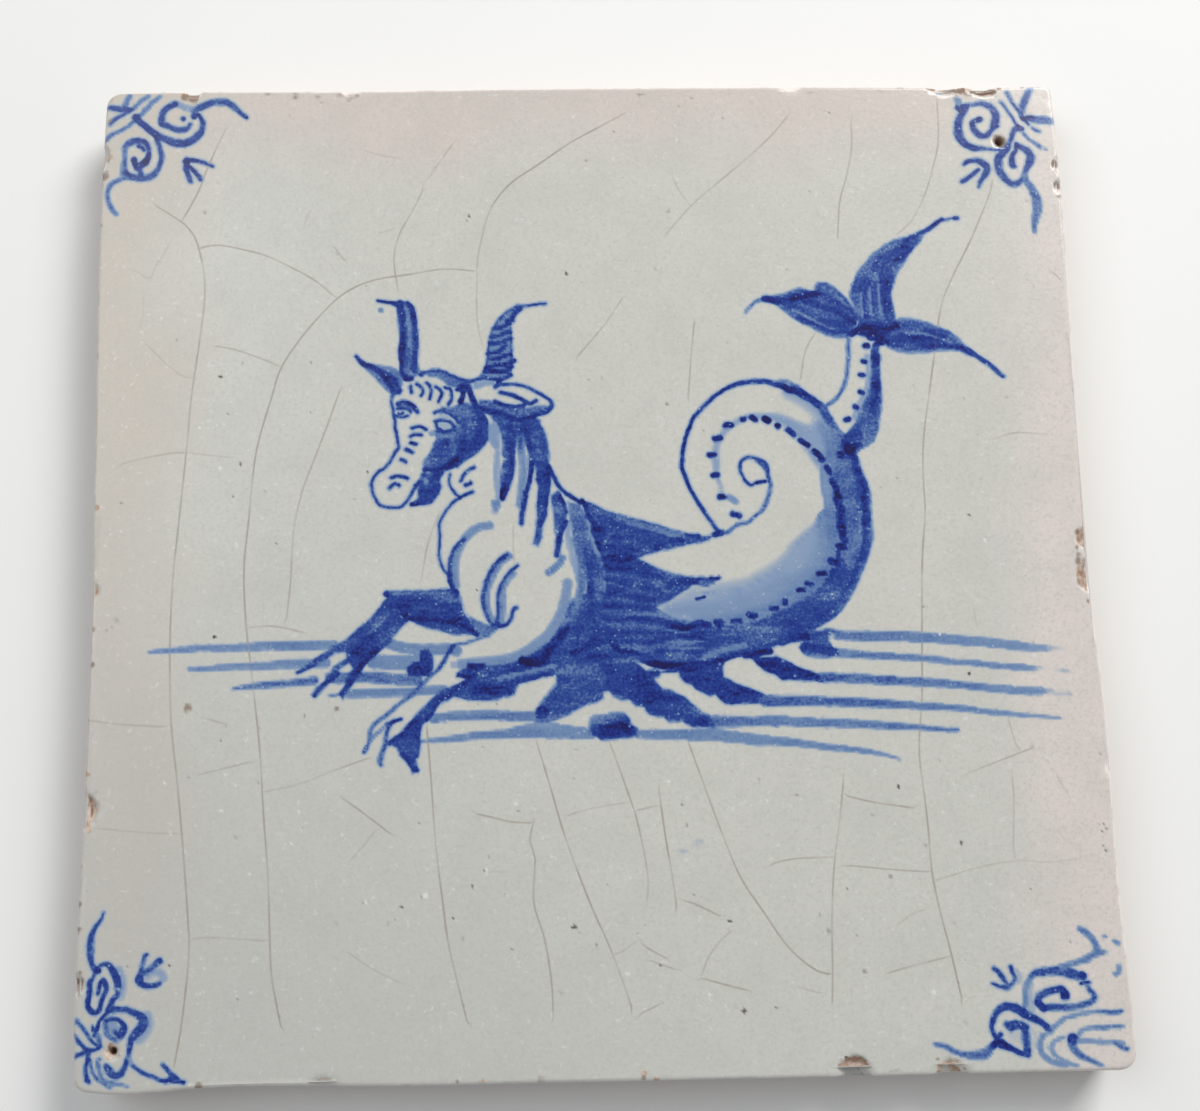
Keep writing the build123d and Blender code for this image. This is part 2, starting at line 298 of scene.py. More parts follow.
# Chest, raised foreleg and lower foreleg
chest = (
    line(0.4, 1.0, (-13.6, 4.3), (-14.8, 4.1), (-16, 3.4), (-17.2, 2), (-18, 0.3), (-18.2, -1.5),
         (-18, -3.5), edge=0.3),
    line(0.7, (0.3, 0.3, 0.3, 0.3, 0.35, 0.35, 0.3, 0.3, 0.3, 0.3, 0.3, 0.3, 0.3, 0.3, 0.3, 0.35,
               0.4), (-18.7, 11.2), (-18.8, 10.2), (-18.45, 9.3), (-17.9, 8.5), (-17.4, 8.05),
         (-18.05, 7.6), (-19, 6.5), (-19.65, 5.6), (-20.05, 4.5), (-20.05, 3.2), (-20.1, 1.7),
         (-20.15, 0.6), (-20, -0.5), (-19.5, -1.5), (-19, -2.1), (-18.8, -3.1), (-18.45, -3.9)),
    line(0.85, 0.38, (-15.55, 12.05), (-16.3, 11.65), (-16.9, 11), (-17.25, 10.3)),
    line(0.85, 0.5, (-16.6, 9.75), (-16, 9.9)),
    line(0.85, 0.38, (-17.4, 8.05), (-16.6, 8.45), (-15.8, 8.7)),
    line(0.8, 0.45, (-16.9, 2.45), (-17.65, 1.9), (-18.3, 0.95), (-18.7, -0.2), (-18.85, -1.5),
         (-18.75, -2.75), (-18.4, -3.9)),
    line(0.4, 0.7, (-11, 0.2), (-12, -0.5), (-12.7, -1.5), (-13.4, -2.7), (-13.9, -4), (-14.1, -5.2),
         (-14, -6.3), (-13.7, -7.5), (-13.2, -8.6)),
    line(0.75, (0.45, 0.45, 0.45, 0.45, 0.45, 0.45, 0.4, 0.4, 0.35, 0.35), (-11.35, 0.5),
         (-12.3, -0.2), (-13.1, -1.15), (-13.8, -2.4), (-14.3, -3.7), (-14.55, -5), (-14.5, -6.1),
         (-14.1, -7.4), (-13.6, -8.5), (-13.3, -8.85)),
    line(0.38, 0.8, (-12, -5), (-12.1, -7), (-12.2, -8.5)),
    line(0.36, 0.6, (-10.5, -2.1), (-11.3, -3), (-11.9, -4.1), (-12.2, -5.1)),
    line(0.75, 0.4, (-10, -1.1), (-10.9, -1.8), (-11.7, -2.75), (-12.3, -3.9), (-12.6, -5),
         (-12.6, -6.3), (-12.7, -7.55), (-12.8, -8.7)),
    line(0.8, 0.4, (-10.2, -6.6), (-10.7, -6.9), (-10.95, -7.9), (-11.5, -8.6), (-12.3, -8.95),
         (-13.1, -8.85)),
    area(0.55, (-14.4, -8.6), (-13.5, -8.8), (-12.4, -9.1), (-13.2, -9.7), (-13.9, -10.2),
         (-14.6, -9.9)),
)
raised_leg = (
    area(0.7, (-27, -4.1), (-17.8, -4), (-17.3, -5.5), (-17, -7), (-16.3, -8), (-15.4, -9),
         (-15.2, -10.1), (-18.7, -9.8), (-21.6, -9), (-24, -7.9), (-24.9, -8.7), (-25.9, -9.9),
         (-26.5, -10.9), (-27.8, -11.9), (-28.8, -12.7), (-29.7, -13.7), (-30.4, -14.8),
         (-31, -15.9), (-32, -17.2), (-32.3, -18), (-32.95, -17.2), (-32.1, -16.1), (-31.8, -14.9),
         (-31.2, -14), (-31.7, -13.3), (-32.8, -14), (-33.1, -14.6), (-33.9, -15.6), (-35, -16.7),
         (-35.8, -17.6), (-36.2, -17.2), (-35.7, -16.2), (-34.7, -15.6), (-34.1, -14.9),
         (-33.6, -13.7), (-32, -12.7), (-32, -11.9), (-33.3, -11.9), (-34.7, -12.85),
         (-35.8, -13.5), (-37.1, -14), (-38.1, -14.55), (-38.3, -14.2), (-37.6, -13.7),
         (-36.5, -13), (-34.9, -12), (-33.6, -11.2), (-32.15, -10.3), (-31, -9.3), (-30.1, -8.45),
         (-28.95, -7.55), (-27.8, -6.3), (-26.95, -5)),
    line(0.56, 0.4, (-26, -4.5), (-22.5, -4.45), (-19, -4.5)),
    line(0.88, 0.9, (-24.8, -5.9), (-22.6, -5.4), (-20.4, -5.7), (-18.6, -6.3), edge=0.4),
    line(0.88, 0.7, (-22.6, -7.1), (-20, -7.2), (-17.6, -7.9), edge=0.35),
    line(0.58, 0.3, (-25.9, -6.4), (-27.6, -8.2), (-29.6, -9.9), edge=0.2),
    dot(0.85, 0.4, -26.9, -4.5),
    dot(0.85, 0.4, -18, -4.5),
    area(0.5, (-17.5, -5), (-16.9, -6.5), (-16.3, -7.5), (-15.3, -8.2), (-14.5, -8.5), (-13.9, -9.5),
         (-14.3, -10.2), (-15.3, -10)),
    line(0.92, 0.5, (-24.8, -7.2), (-24, -7.5), (-22.7, -7.9), (-21.1, -8), (-19, -8.3),
         (-17.6, -8.7), (-16.3, -9.2), (-15.3, -10)),
    line(0.85, 0.8, (-26.1, -8), (-27.8, -9.3), (-29.1, -10.3), (-30.1, -11.1), (-31, -11.9)),
    line(0.9, (0.7, 0.7, 0.7, 0.6, 0.5, 0.35), (-28.1, -11.7), (-29.4, -12.85), (-30.4, -14),
         (-31, -15), (-31.7, -16), (-32.6, -17.3)),
    line(0.6, 0.15, (-34.1, -17.4), (-32.9, -17.3)),
    line(0.9, (0.6, 0.5, 0.45, 0.35), (-33.1, -14.6), (-34.1, -15.3), (-35, -16.1),
         (-36.1, -17.35)),
    line(0.75, (0.6, 0.55, 0.55, 0.5, 0.35), (-32.3, -10.8), (-33.6, -11.4), (-35.2, -12.6),
         (-36.8, -13.6), (-38.15, -14.35)),
    line(0.6, 0.25, (-13.9, -10.1), (-15.2, -10.5), (-16.8, -11), (-18.5, -11.3)),
)
lower_leg = (
    line(0.8, 0.45, (-18.5, -11.4), (-19, -12.2), (-19.65, -13.3), (-20.3, -14.3)),
    line(0.62, 0.4, (-20.3, -14.3), (-21.1, -14.95), (-21.9, -15.7), (-22.7, -16.4),
         (-23.2, -17.2), (-24.3, -18), (-25.6, -18.9), (-26.7, -19.9), (-28, -20.8),
         (-28.6, -21.4), (-28.85, -22), (-28.95, -23.1), (-29.4, -24.1), (-29.65, -24.6)),
    line(0.8, 0.45, (-29.4, -24.1), (-29.65, -24.6)),
    dot(0.2, 0.45, -18.3, -13.8),
    line(0.9, 0.45, (-25.1, -20.6), (-25.9, -20.8), (-26.7, -21.1)),
    line(0.55, 0.3, (-26.7, -21.1), (-27.5, -21.8), (-28.3, -22.5), (-28.95, -23.3)),
    line(0.7, (0.4, 0.45, 0.45, 0.5, 0.5, 0.4), (-26.4, -21.2), (-26.85, -22.3), (-27, -23.6),
         (-27.3, -24.55), (-27.65, -25.8), (-27.55, -26.3)),
    area(0.74, (-20, -17), (-21.3, -18.2), (-22.6, -19.4), (-23.6, -20.6), (-24.8, -21.8),
         (-25.6, -22.8), (-26.6, -23.5), (-25.6, -24.2), (-25.2, -25), (-24.5, -25.8),
         (-23.9, -26.6), (-23.6, -27.5), (-22.9, -27.2), (-22.9, -26.6), (-23.2, -25.6),
         (-22.9, -24), (-22.6, -22.5), (-22.3, -21.4), (-21.6, -20.5), (-20.9, -19.6),
         (-20.2, -18.4), (-19, -17.6), (-18.2, -16.8), (-17, -16)),
    line(0.9, 0.45, (-16.3, -15.7), (-17.6, -16.5), (-18.7, -17.3), (-19.8, -18), (-20.6, -18.9),
         (-21.25, -19.9), (-21.9, -20.7)),
    line(0.9, 0.5, (-22.7, -20.5), (-23.8, -21.2), (-24.6, -22.3), (-25.6, -22.9), (-26.5, -23.6)),
    line(0.92, 0.55, (-24.9, -25), (-24.1, -25.8), (-23.5, -26.6), (-23, -27)),
    line(0.75, 0.4, (-22.8, -22.6), (-22.9, -24.2), (-23.1, -25.3)),
    area(0.9, (-22.6, -11.8), (-21.6, -11.7), (-21, -12.5), (-20.9, -13.3), (-21, -14.2),
         (-21.4, -15.2), (-22.5, -15.1), (-24.2, -15), (-24.3, -14.2), (-23.6, -13.5),
         (-22.6, -13.2), (-22.7, -12.5)),
)

# Sea, to the left and under the beast
left_sea = (
    line(0.42, (0.35, 0.55, 0.7, 0.8, 0.85, 0.9, 1.0, 1.1, 1.0, 0.9), (-57, -11.4), (-55.2, -11.3),
         (-52, -11.15), (-51, -11), (-48, -11), (-45, -11), (-42, -10.9), (-38, -10.9),
         (-35, -10.9), (-33.5, -10.9)),
    line(0.42, 1.3, (-26.5, -10.9), (-24, -11.6), (-21, -11.8), (-19, -11.8), (-18, -12)),
    line(0.43, (0.4, 0.45, 0.65, 0.7, 0.85, 0.9, 1.05, 1.1, 1.0), (-51.9, -13.65), (-50, -13.65),
         (-48, -13.55), (-46, -13.5), (-44, -13.4), (-42, -13.4), (-40, -13.25), (-38, -13.2),
         (-34.5, -13.2)),
    line(0.4, 1.8, (-28.5, -13.2), (-25, -13.4), (-22, -13.2)),
    line(0.55, (0.25, 0.4, 0.6, 0.75, 0.75, 0.85, 0.9), (-46.3, -16.35), (-45, -16.1), (-43.5, -16),
         (-41, -15.8), (-39, -15.7), (-38, -15.6), (-36, -15.4)),
    line(0.55, 1.3, (-34, -15.1), (-32, -15.2), (-30.4, -15.1), (-28, -15.3), (-26, -15.5),
         (-23, -15.6)),
    line(0.42, 1.0, (-31.8, -17.2), (-28, -17.2), (-24, -17.2), (-22, -17), (-19.5, -17)),
    line(0.45, 1.1, (-21, -20.5), (-15, -20.3), (-12, -20.4), (-9.5, -20.5), (-8, -20.6)),
    line(0.42, (0.3, 0.6, 0.9, 1.0, 1.7, 1.8, 1.5, 1.2), (-22.5, -23.4), (-20, -23.3),
         (-16, -22.9), (-12, -22.7), (-9, -22.4), (-6, -22.5), (-3, -22.7), (-1, -22.9)),
    line(0.42, (1.1, 1.3, 1.4, 1.3, 0.9, 0.75, 0.7, 0.6, 0.4, 0.15), (5, -23.1), (10, -23.3),
         (15, -23.5), (20, -24.15), (25, -24.65), (28, -25.1), (31, -25.5), (34, -25.9),
         (36, -26.35), (38.2, -26.9)),
)

# Back with its fins, belly and hind leg
chest_edge = (
    line(0.5, (0.5, 0.8, 1.0, 1.0, 0.8, 0.5), (-2.7, 2.2), (-1.9, -0.6), (-1.7, -3.2), (-2.2, -5.6),
         (-3, -7.4), (-4.4, -9.2), edge=0.3),
    line(0.76, 0.4, (-1.2, 1), (-0.8, -1.4), (-0.6, -4.4), (-0.7, -7.5), (-1.7, -9.6), edge=0.25),
    line(0.55, 0.4, (0.3, -1.2), (0.4, -4), (0.3, -7), (-0.4, -9.4), edge=0.25),
    dot(0.93, 0.7, -0.4, -11.4, edge=0.4),
    line(0.92, 0.5, (-0.4, -11.4), (-1.8, -12.2), (-3.2, -12.6), edge=0.3),
    line(0.9, 0.4, (-0.2, -8.4), (-0.3, -9.8), (-0.4, -11.4), edge=0.3),
)
mane_root = (
    area(0.76, (-13.5, 19.5), (-11, 18.9), (-9.5, 18.3), (-7.5, 18.6), (-6.8, 18.2), (-7, 17),
         (-8.5, 16.3), (-9.8, 16.6), (-11, 17.2), (-12.6, 17.4), edge=0.3),
)
body_streaks = (
    line(0.84, 0.45, (1.2, -1.4), (4, -1.9), (7, -2.6), (9.5, -3.4), edge=0.25),
    line(0.84, 0.4, (1.2, -3), (4, -3.6), (7, -4.4), (9, -5.2), edge=0.25),
    line(0.85, 0.5, (1, -4.8), (4, -5.2), (7.4, -6), edge=0.25),
    line(0.84, 0.4, (0.8, -6.4), (4, -6.8), (7, -7.2), edge=0.25),
    line(0.86, 0.5, (1, -8.2), (4, -8.3), (8, -8.6), (11, -9.2), edge=0.25),
    line(0.84, 0.4, (0, -10), (4, -10.2), (9, -10.6), (14, -11), edge=0.25),
    line(0.84, 0.4, (-3, -11.4), (2, -11.2), (7, -11.4), edge=0.25),
    line(0.52, 0.2, (1.5, -2.3), (5, -2.9), (8, -3.9)),
    line(0.52, 0.2, (1.3, -5.6), (5, -6.1)),
    line(0.5, 0.22, (1, -7.3), (5, -7.6), (8, -7.9)),
    line(0.52, 0.25, (2, -9.2), (7, -9.5), (12, -10.3)),
    line(0.52, 0.3, (3, -11.9), (9, -12.2), (15, -12.4)),
    line(0.84, 0.5, (2.5, 2.4), (6, 2), (9, 1.8), edge=0.25),
    line(0.84, 0.4, (1.6, 1.1), (5, 0.3), edge=0.25),
    line(0.84, 0.9, (-3, -14.6), (0.5, -15.2), (4, -15.8), (7.5, -15.4), edge=0.4),
    line(0.84, 0.5, (-1, -12.9), (3, -13.2), (7, -13.4), edge=0.3),
    line(0.82, 1.2, (4, -17), (7, -18), (10, -19.5), edge=0.5),
    line(0.8, 1.0, (-4.5, -16.5), (-5.8, -18), (-7, -19.4), edge=0.5),
)
tail_streaks = (
    line(0.68, 0.4, (31, -3), (33.4, 0), (34.6, 3.6), (34.9, 7), (34.6, 10), edge=0.3),
    line(0.7, 0.35, (30, -6.5), (33, -3.2), (35.2, 0.6), (36, 4.6), (35.9, 8.2), edge=0.3),
    line(0.42, 0.3, (29.4, -5), (32.4, -1.8), (34.2, 1.8), (35, 5), edge=0.25),
)
collar = (
    area(0.55, (-3.3, 7.2), (-1.7, 6.7), (-0.9, 5.3), (-0.45, 3.65), (0, 1.6), (0.7, 0), (1.2, -2),
         (1.3, -5), (-0.9, -5), (-1.25, -3.2), (-1.9, -0.8), (-2.4, 1.1), (-2.85, 3.2),
         (-3.3, 5.6)),
    line(0.25, 0.7, (-3.4, 4.5), (-3.2, 1), (-2.2, -3)),
    line(0.75, 0.7, (-0.15, 0.3), (-0.3, -1.6), (-0.55, -3.2), (-0.85, -5)),
    line(0.35, 0.35, (-0.8, 4.5), (-0.3, 2.4), (0.2, 0.3)),
)
back = (
    area(0.68, (-1.6, 7.5), (0, 6.9), (1.3, 6.2), (3, 5.55), (4, 5.2), (5.25, 4.8), (7, 4.35),
         (8.6, 3.85), (10.2, 3.3), (12, 2.75), (13.9, 2.4), (15.5, 2.35), (14.85, 1.8),
         (13.9, 1.45), (12, 1.2), (10.2, 0.8), (8.3, 0.4), (6.7, 0), (5.65, -0.4), (7, -1.2),
         (8.3, -1.85), (9.9, -2.5), (12, -2.95), (14.2, -3.1), (16.1, -3.05), (15.8, -3.45),
         (15.35, -3.9), (14.2, -4.3), (13.6, -4.15), (12.6, -4.15), (12, -4.55), (11.3, -5),
         (10.2, -5.7), (9.1, -6.3), (8.1, -6.65), (7.8, -6.95), (9.1, -7.9), (10.2, -8.4),
         (12, -8.8), (12.9, -9.05), (15.2, -9.6), (19, -9.2), (22.5, -8.3), (25, -7.2), (28, -5.6),
         (30.5, -3.6), (31.8, -1), (33, -2), (32.5, -5.1), (30.9, -7.1), (28, -9.3), (24.5, -11.6),
         (21, -13), (18, -13.6), (15.8, -14.1), (12, -14.5), (8.3, -14.4), (5, -14), (0, -14),
         (-3, -14), (-5.4, -15.3), (-7.2, -15.7), (-8.8, -16.05), (-10.1, -16.3), (-10.55, -17.65),
         (-12.95, -18.4), (-14.7, -18.5), (-16.5, -18.3), (-18.4, -17.9), (-20, -18.7),
         (-18.1, -16.9), (-16.6, -15.7), (-18, -14.9), (-16.8, -13.8), (-14, -13.6), (-11, -13.3),
         (-9, -12.7), (-7.4, -11.8), (-6, -10.6), (-5, -9.4), (-4.2, -8.4), (-3.6, -6), (-2, -5),
         (1.3, -5), (1.2, -2), (0.7, 0), (0, 1.6), (-0.45, 3.65), (-0.9, 5.3)),
    line(0.5, 0.8, (3.2, 4.9), (6, 3.9), (9, 3), (12, 2.2)),
    line(0.8, 0.6, (3, 3.9), (4.6, 3.5), (6.2, 3.05), (7.8, 2.65), (9.2, 2.4)),
    line(0.92, 0.6, (8, 0.9), (9.4, 1.7), (11.3, 1.95)),
    line(0.9, 0.5, (12, 2.4), (13.6, 2.35)),
    line(0.88, 0.6, (5, 0.8), (5.8, 0.65)),
    line(0.93, 0.7, (1.15, -0.4), (2.4, -0.3), (3.7, -0.4), (4.7, -0.25)),
    line(0.92, 0.7, (9.4, -4.2), (9.9, -3.6), (11.3, -3.5), (12.6, -3.7), (13.4, -3.6)),
    line(0.9, 0.45, (14.9, -3.2), (15.9, -3.25)),
    line(0.55, 0.5, (13.6, -3.8), (14.6, -3.85), (15.3, -3.6)),
    line(0.5, 0.5, (8, -7.6), (9.4, -8.4), (11, -9), (12.6, -9.3)),
    line(0.94, 0.7, (9.3, -9.3), (10.5, -9.75), (11.8, -9.6), (13.2, -9.05), (13.9, -9.2),
         (14.5, -9.3)),
    line(0.45, 0.8, (5, -12.2), (8, -12.1), (11, -11.4), (14, -11.1), edge=0.25),
    line(0.42, 0.8, (13.8, -13.4), (15, -13), (17, -12.4), (19, -12.1), edge=0.25),
    line(0.72, 0.9, (3, -10.3), (6, -10.6), (9, -10.4), edge=0.25),
    line(0.75, 0.6, (3, -8.6), (6, -8.3), (8, -8.6), (9.3, -9.2), edge=0.2),
    line(0.75, 0.7, (8, -12.6), (10.5, -12.4), (13, -12.7), edge=0.2),
    line(0.7, 0.6, (13, -11.9), (16, -11.5), (18, -11.4), edge=0.2),
    line(0.72, 0.8, (24.5, -9.4), (26, -9.3), (27.5, -9.4), edge=0.2),
    line(0.95, 0.9, (2, -11.3), (3, -12.5), (4, -12.85), (4.9, -13), (5.9, -13.5), (7, -14.1),
         (8.3, -14.4), (9.9, -14.5), (11.5, -14.6), (13.25, -14.5), (14.85, -14.3),
         (15.8, -14.1)),
    line(0.85, 0.45, (15.8, -14.1), (17.1, -13.5), (18.4, -13.3)),
    line(0.94, 0.8, (19, -13.3), (20.15, -13.3), (21.1, -13), (22.2, -12.85)),
    line(0.88, 0.9, (23.8, -11.7), (25, -11.4), (26.1, -11.25), (27, -10.9)),
    area(0.87, (19.8, -13.7), (21.5, -13.6), (23, -13.5), (24.4, -14.1), (25.6, -14.9),
         (27, -15.4), (28.3, -15.9), (28.8, -16.9), (25, -16.6), (23.6, -16.6), (22.8, -16),
         (21.4, -15.5), (20.7, -14.8)),
)
nape = (
    line(0.92, 0.5, (-1.5, 7.35), (-1, 6.4), (-0.75, 5.4), (-0.1, 4.3), (0.7, 3.5)),
    area(0.92, (-0.3, 4.6), (1.4, 3.3), (1.3, 2.5), (0.7, 1.6), (1, 0.6), (0.5, 0.6), (0, 2),
         (-0.3, 3.2)),
)
belly = (
    line(0.35, 1.2, (-17.5, -13.7), (-15, -13.5), (-12, -13.2), (-9.8, -12.6), (-8, -11.6),
         (-6.4, -10.2), (-5.2, -8.6), (-4.4, -7), (-3.9, -5.2), (-3.6, -3.5), edge=0.3),
    area(0.9, (-16.6, -13.6), (-14.4, -13.7), (-14.5, -14.3), (-15.2, -14.8), (-15.4, -15.6),
         (-16.6, -15.7), (-18.1, -15.4), (-18, -14.9), (-16.7, -14.7)),
    line(0.45, 0.6, (-12.5, -15.6), (-10.5, -15.2), (-8.5, -14.8), (-6.5, -14.4), (-5.6, -14.2)),
    line(0.8, 0.6, (-14.55, -15.25), (-12.8, -15), (-11, -14.6), (-9.1, -14.3)),
    line(0.95, 1.0, (-9.6, -13.5), (-8.1, -13.8), (-6.7, -13.3), (-6.4, -12.4), (-5.6, -11.4),
         (-4.6, -10.45), (-4.1, -9.2)),
    line(0.8, 0.4, (-5.9, -15.3), (-7.5, -15.4), (-9.1, -15.9), (-10.7, -16.2), (-12, -16.5)),
    area(0.85, (-16.3, -16.6), (-14.5, -16.1), (-12.2, -16.4), (-10.8, -16.9), (-10.9, -17.6),
         (-12.5, -18), (-14.2, -17.8), (-15.8, -17.6), (-16.4, -17.1)),
    line(0.93, 0.45, (-20, -18.1), (-19, -17.7), (-18.1, -16.9), (-17, -16.1)),
    line(0.85, 0.6, (-2.2, -8.5), (-2.1, -9.6), (-2.4, -10.8), edge=0.2),
    line(0.92, 0.6, (-3, -12.5), (-1.5, -12), (0, -11), edge=0.2),
    area(0.64, (-7.5, -19.9), (-7.2, -18.9), (-6.85, -18.2), (-6.05, -18.1), (-5.7, -17.3),
         (-5.1, -16.7), (-5.4, -15.3), (-3, -14), (0, -14), (5, -14), (7.1, -15.6), (7.3, -16.2),
         (7.8, -16.9), (8.3, -17.4), (9.4, -17.6), (10.4, -18.15), (11.2, -18.6), (11.8, -19.3),
         (12.6, -19.9), (13.25, -20.5), (14.2, -20.9), (15, -22.5), (14.2, -22.55), (12, -22.4),
         (11.3, -22.05), (10.7, -21.6), (8.95, -21.6), (8.3, -21), (7.5, -21), (6.5, -20.7),
         (6.05, -20.2), (5.9, -19.65), (4.75, -19.6), (4.35, -19.2), (4, -18.8), (2.9, -18.7),
         (1.95, -18.3), (1.5, -17.6), (0.7, -17.7), (0.6, -18.5), (0, -18.9), (-1.6, -19.3),
         (-2.7, -19.9), (-4, -20.5), (-5.1, -21), (-6.4, -21.4), (-8.1, -21.4)),
    dot(0.88, 0.8, -7.2, -20.1),
    area(0.8, (0.3, -14), (4.5, -13.6), (6.6, -15.6), (7.6, -17.4), (9.6, -18.4), (11, -19.4),
         (12.8, -20.8), (14, -21.3), (14, -22.2), (12, -22), (10.8, -21.2), (8.8, -21),
         (6.8, -20.2), (5, -19.2), (3, -18.3), (1, -17.3)),
    area(0.6, (-1.2, -21.2), (-0.7, -20.7), (0.5, -20.6), (1.8, -20.3), (3.2, -20.3), (3.9, -20.9),
         (4.2, -21.8), (5, -22.3), (5, -23.4), (3.5, -23.6), (1.5, -23.7), (0.2, -23.8),
         (-0.3, -23.3), (-1.3, -23)),
    area(0.87, (-0.9, -22), (1, -21.6), (3, -21.5), (4.4, -22.2), (4.6, -23.2), (2.5, -23.5),
         (0.2, -23.5), (-0.9, -22.9)),
)

# Sea to the right
right_sea = (
    area(0.5, (14, -20.9), (16.6, -21.1), (18.2, -21.2), (19.8, -21.35), (21.4, -21.1),
         (23, -21.2), (25.4, -21.6), (28, -21.7), (28, -22.5), (20.6, -22.4), (14.2, -22.55)),
    area(0.8, (7.1, -15.2), (16, -14.5), (16.1, -16), (18, -17), (21, -18.2), (22, -18.9),
         (22, -19.8), (20.5, -19.6), (17.4, -19.6), (16.2, -19.5), (15.6, -19), (15, -18.3),
         (14.3, -18.5), (13.6, -18.1), (12.6, -17.6), (12, -17), (11.1, -16.6), (10.5, -16),
         (10.4, -15.3), (8.5, -15.3)),
    *fading(0.58, 0.3, (1.3, 1.2, 1.0, 1.0, 0.85, 0.7, 0.65, 0.6, 0.5, 0.4, 0.3, 0.2), (21.3, -19.25),
         (26, -19.3), (31, -19.6), (36, -19.9), (40, -20.2), (44, -20.5), (48, -20.95),
         (51, -21.35), (53, -21.6), (55, -21.8), (57, -22), (59, -22.2)),
    line(0.5, (1.2, 0.9, 1.0, 0.9, 0.75, 0.55, 0.45, 0.45), (22, -21.8), (26, -22), (30, -22.25),
         (34, -22.5), (38, -22.85), (41, -23.05), (44, -23.35), (45.7, -23.4)),
    *fading(0.58, 0.34, (1.1, 1.1, 1.0, 0.9, 0.85, 0.85, 0.85, 0.95, 0.9, 0.7, 0.55), (28.5, -16.4),
         (33, -16.6), (38, -17), (43, -17.35), (46, -17.7), (48, -17.95), (51, -18.3),
         (53, -18.5), (55, -18.7), (57, -18.75), (57.7, -18.8)),
    line(0.2, (0.55, 0.5, 0.4), (57.7, -18.8), (59.2, -18.9), (60.8, -19)),
    *fading(0.54, 0.36, (1.0, 0.8, 0.75, 0.7, 0.65, 0.6, 0.6, 0.65, 0.7, 0.55), (31, -13.3), (34, -13.6),
         (37, -13.85), (40, -14), (43, -14.35), (46, -14.75), (49, -15.05), (52, -15.4),
         (55, -15.7), (56.3, -15.8)),
    line(0.2, (0.5, 0.4, 0.3), (56.3, -15.8), (58, -15.9), (60.5, -16.1)),
    *fading(0.5, 0.34, (1.1, 1.2, 1.2, 1.15, 1.1, 1.05, 1.1, 0.95), (31, -11), (35, -11.2), (40, -11.35),
         (44, -11.65), (48, -12.05), (51, -12.35), (54, -12.8), (56.2, -13.1)),
    line(0.3, (0.9, 0.7), (56.2, -13.1), (58.3, -13.25)),
    line(0.15, (0.6, 0.4, 0.3), (58.3, -13.25), (59.6, -13.4), (61.2, -13.5)),
    area(0.6, (27, -10.2), (28.5, -10.3), (29.9, -10.1), (31, -10.3), (30.3, -11), (29.8, -11.6),
         (30.2, -12.2), (30.7, -12.9), (30.6, -13.6), (29.4, -13.9), (28, -13.85), (27, -13.6),
         (26.5, -13.3), (26, -12.5)),
    line(0.85, 1.1, (26.8, -12.4), (28.5, -12.8), (30.5, -13.2), edge=0.2),
    dot(0.0, 0.3, 30.3, -11.1),
    line(0.94, 0.7, (26, -10.9), (27.1, -11.2)),
)

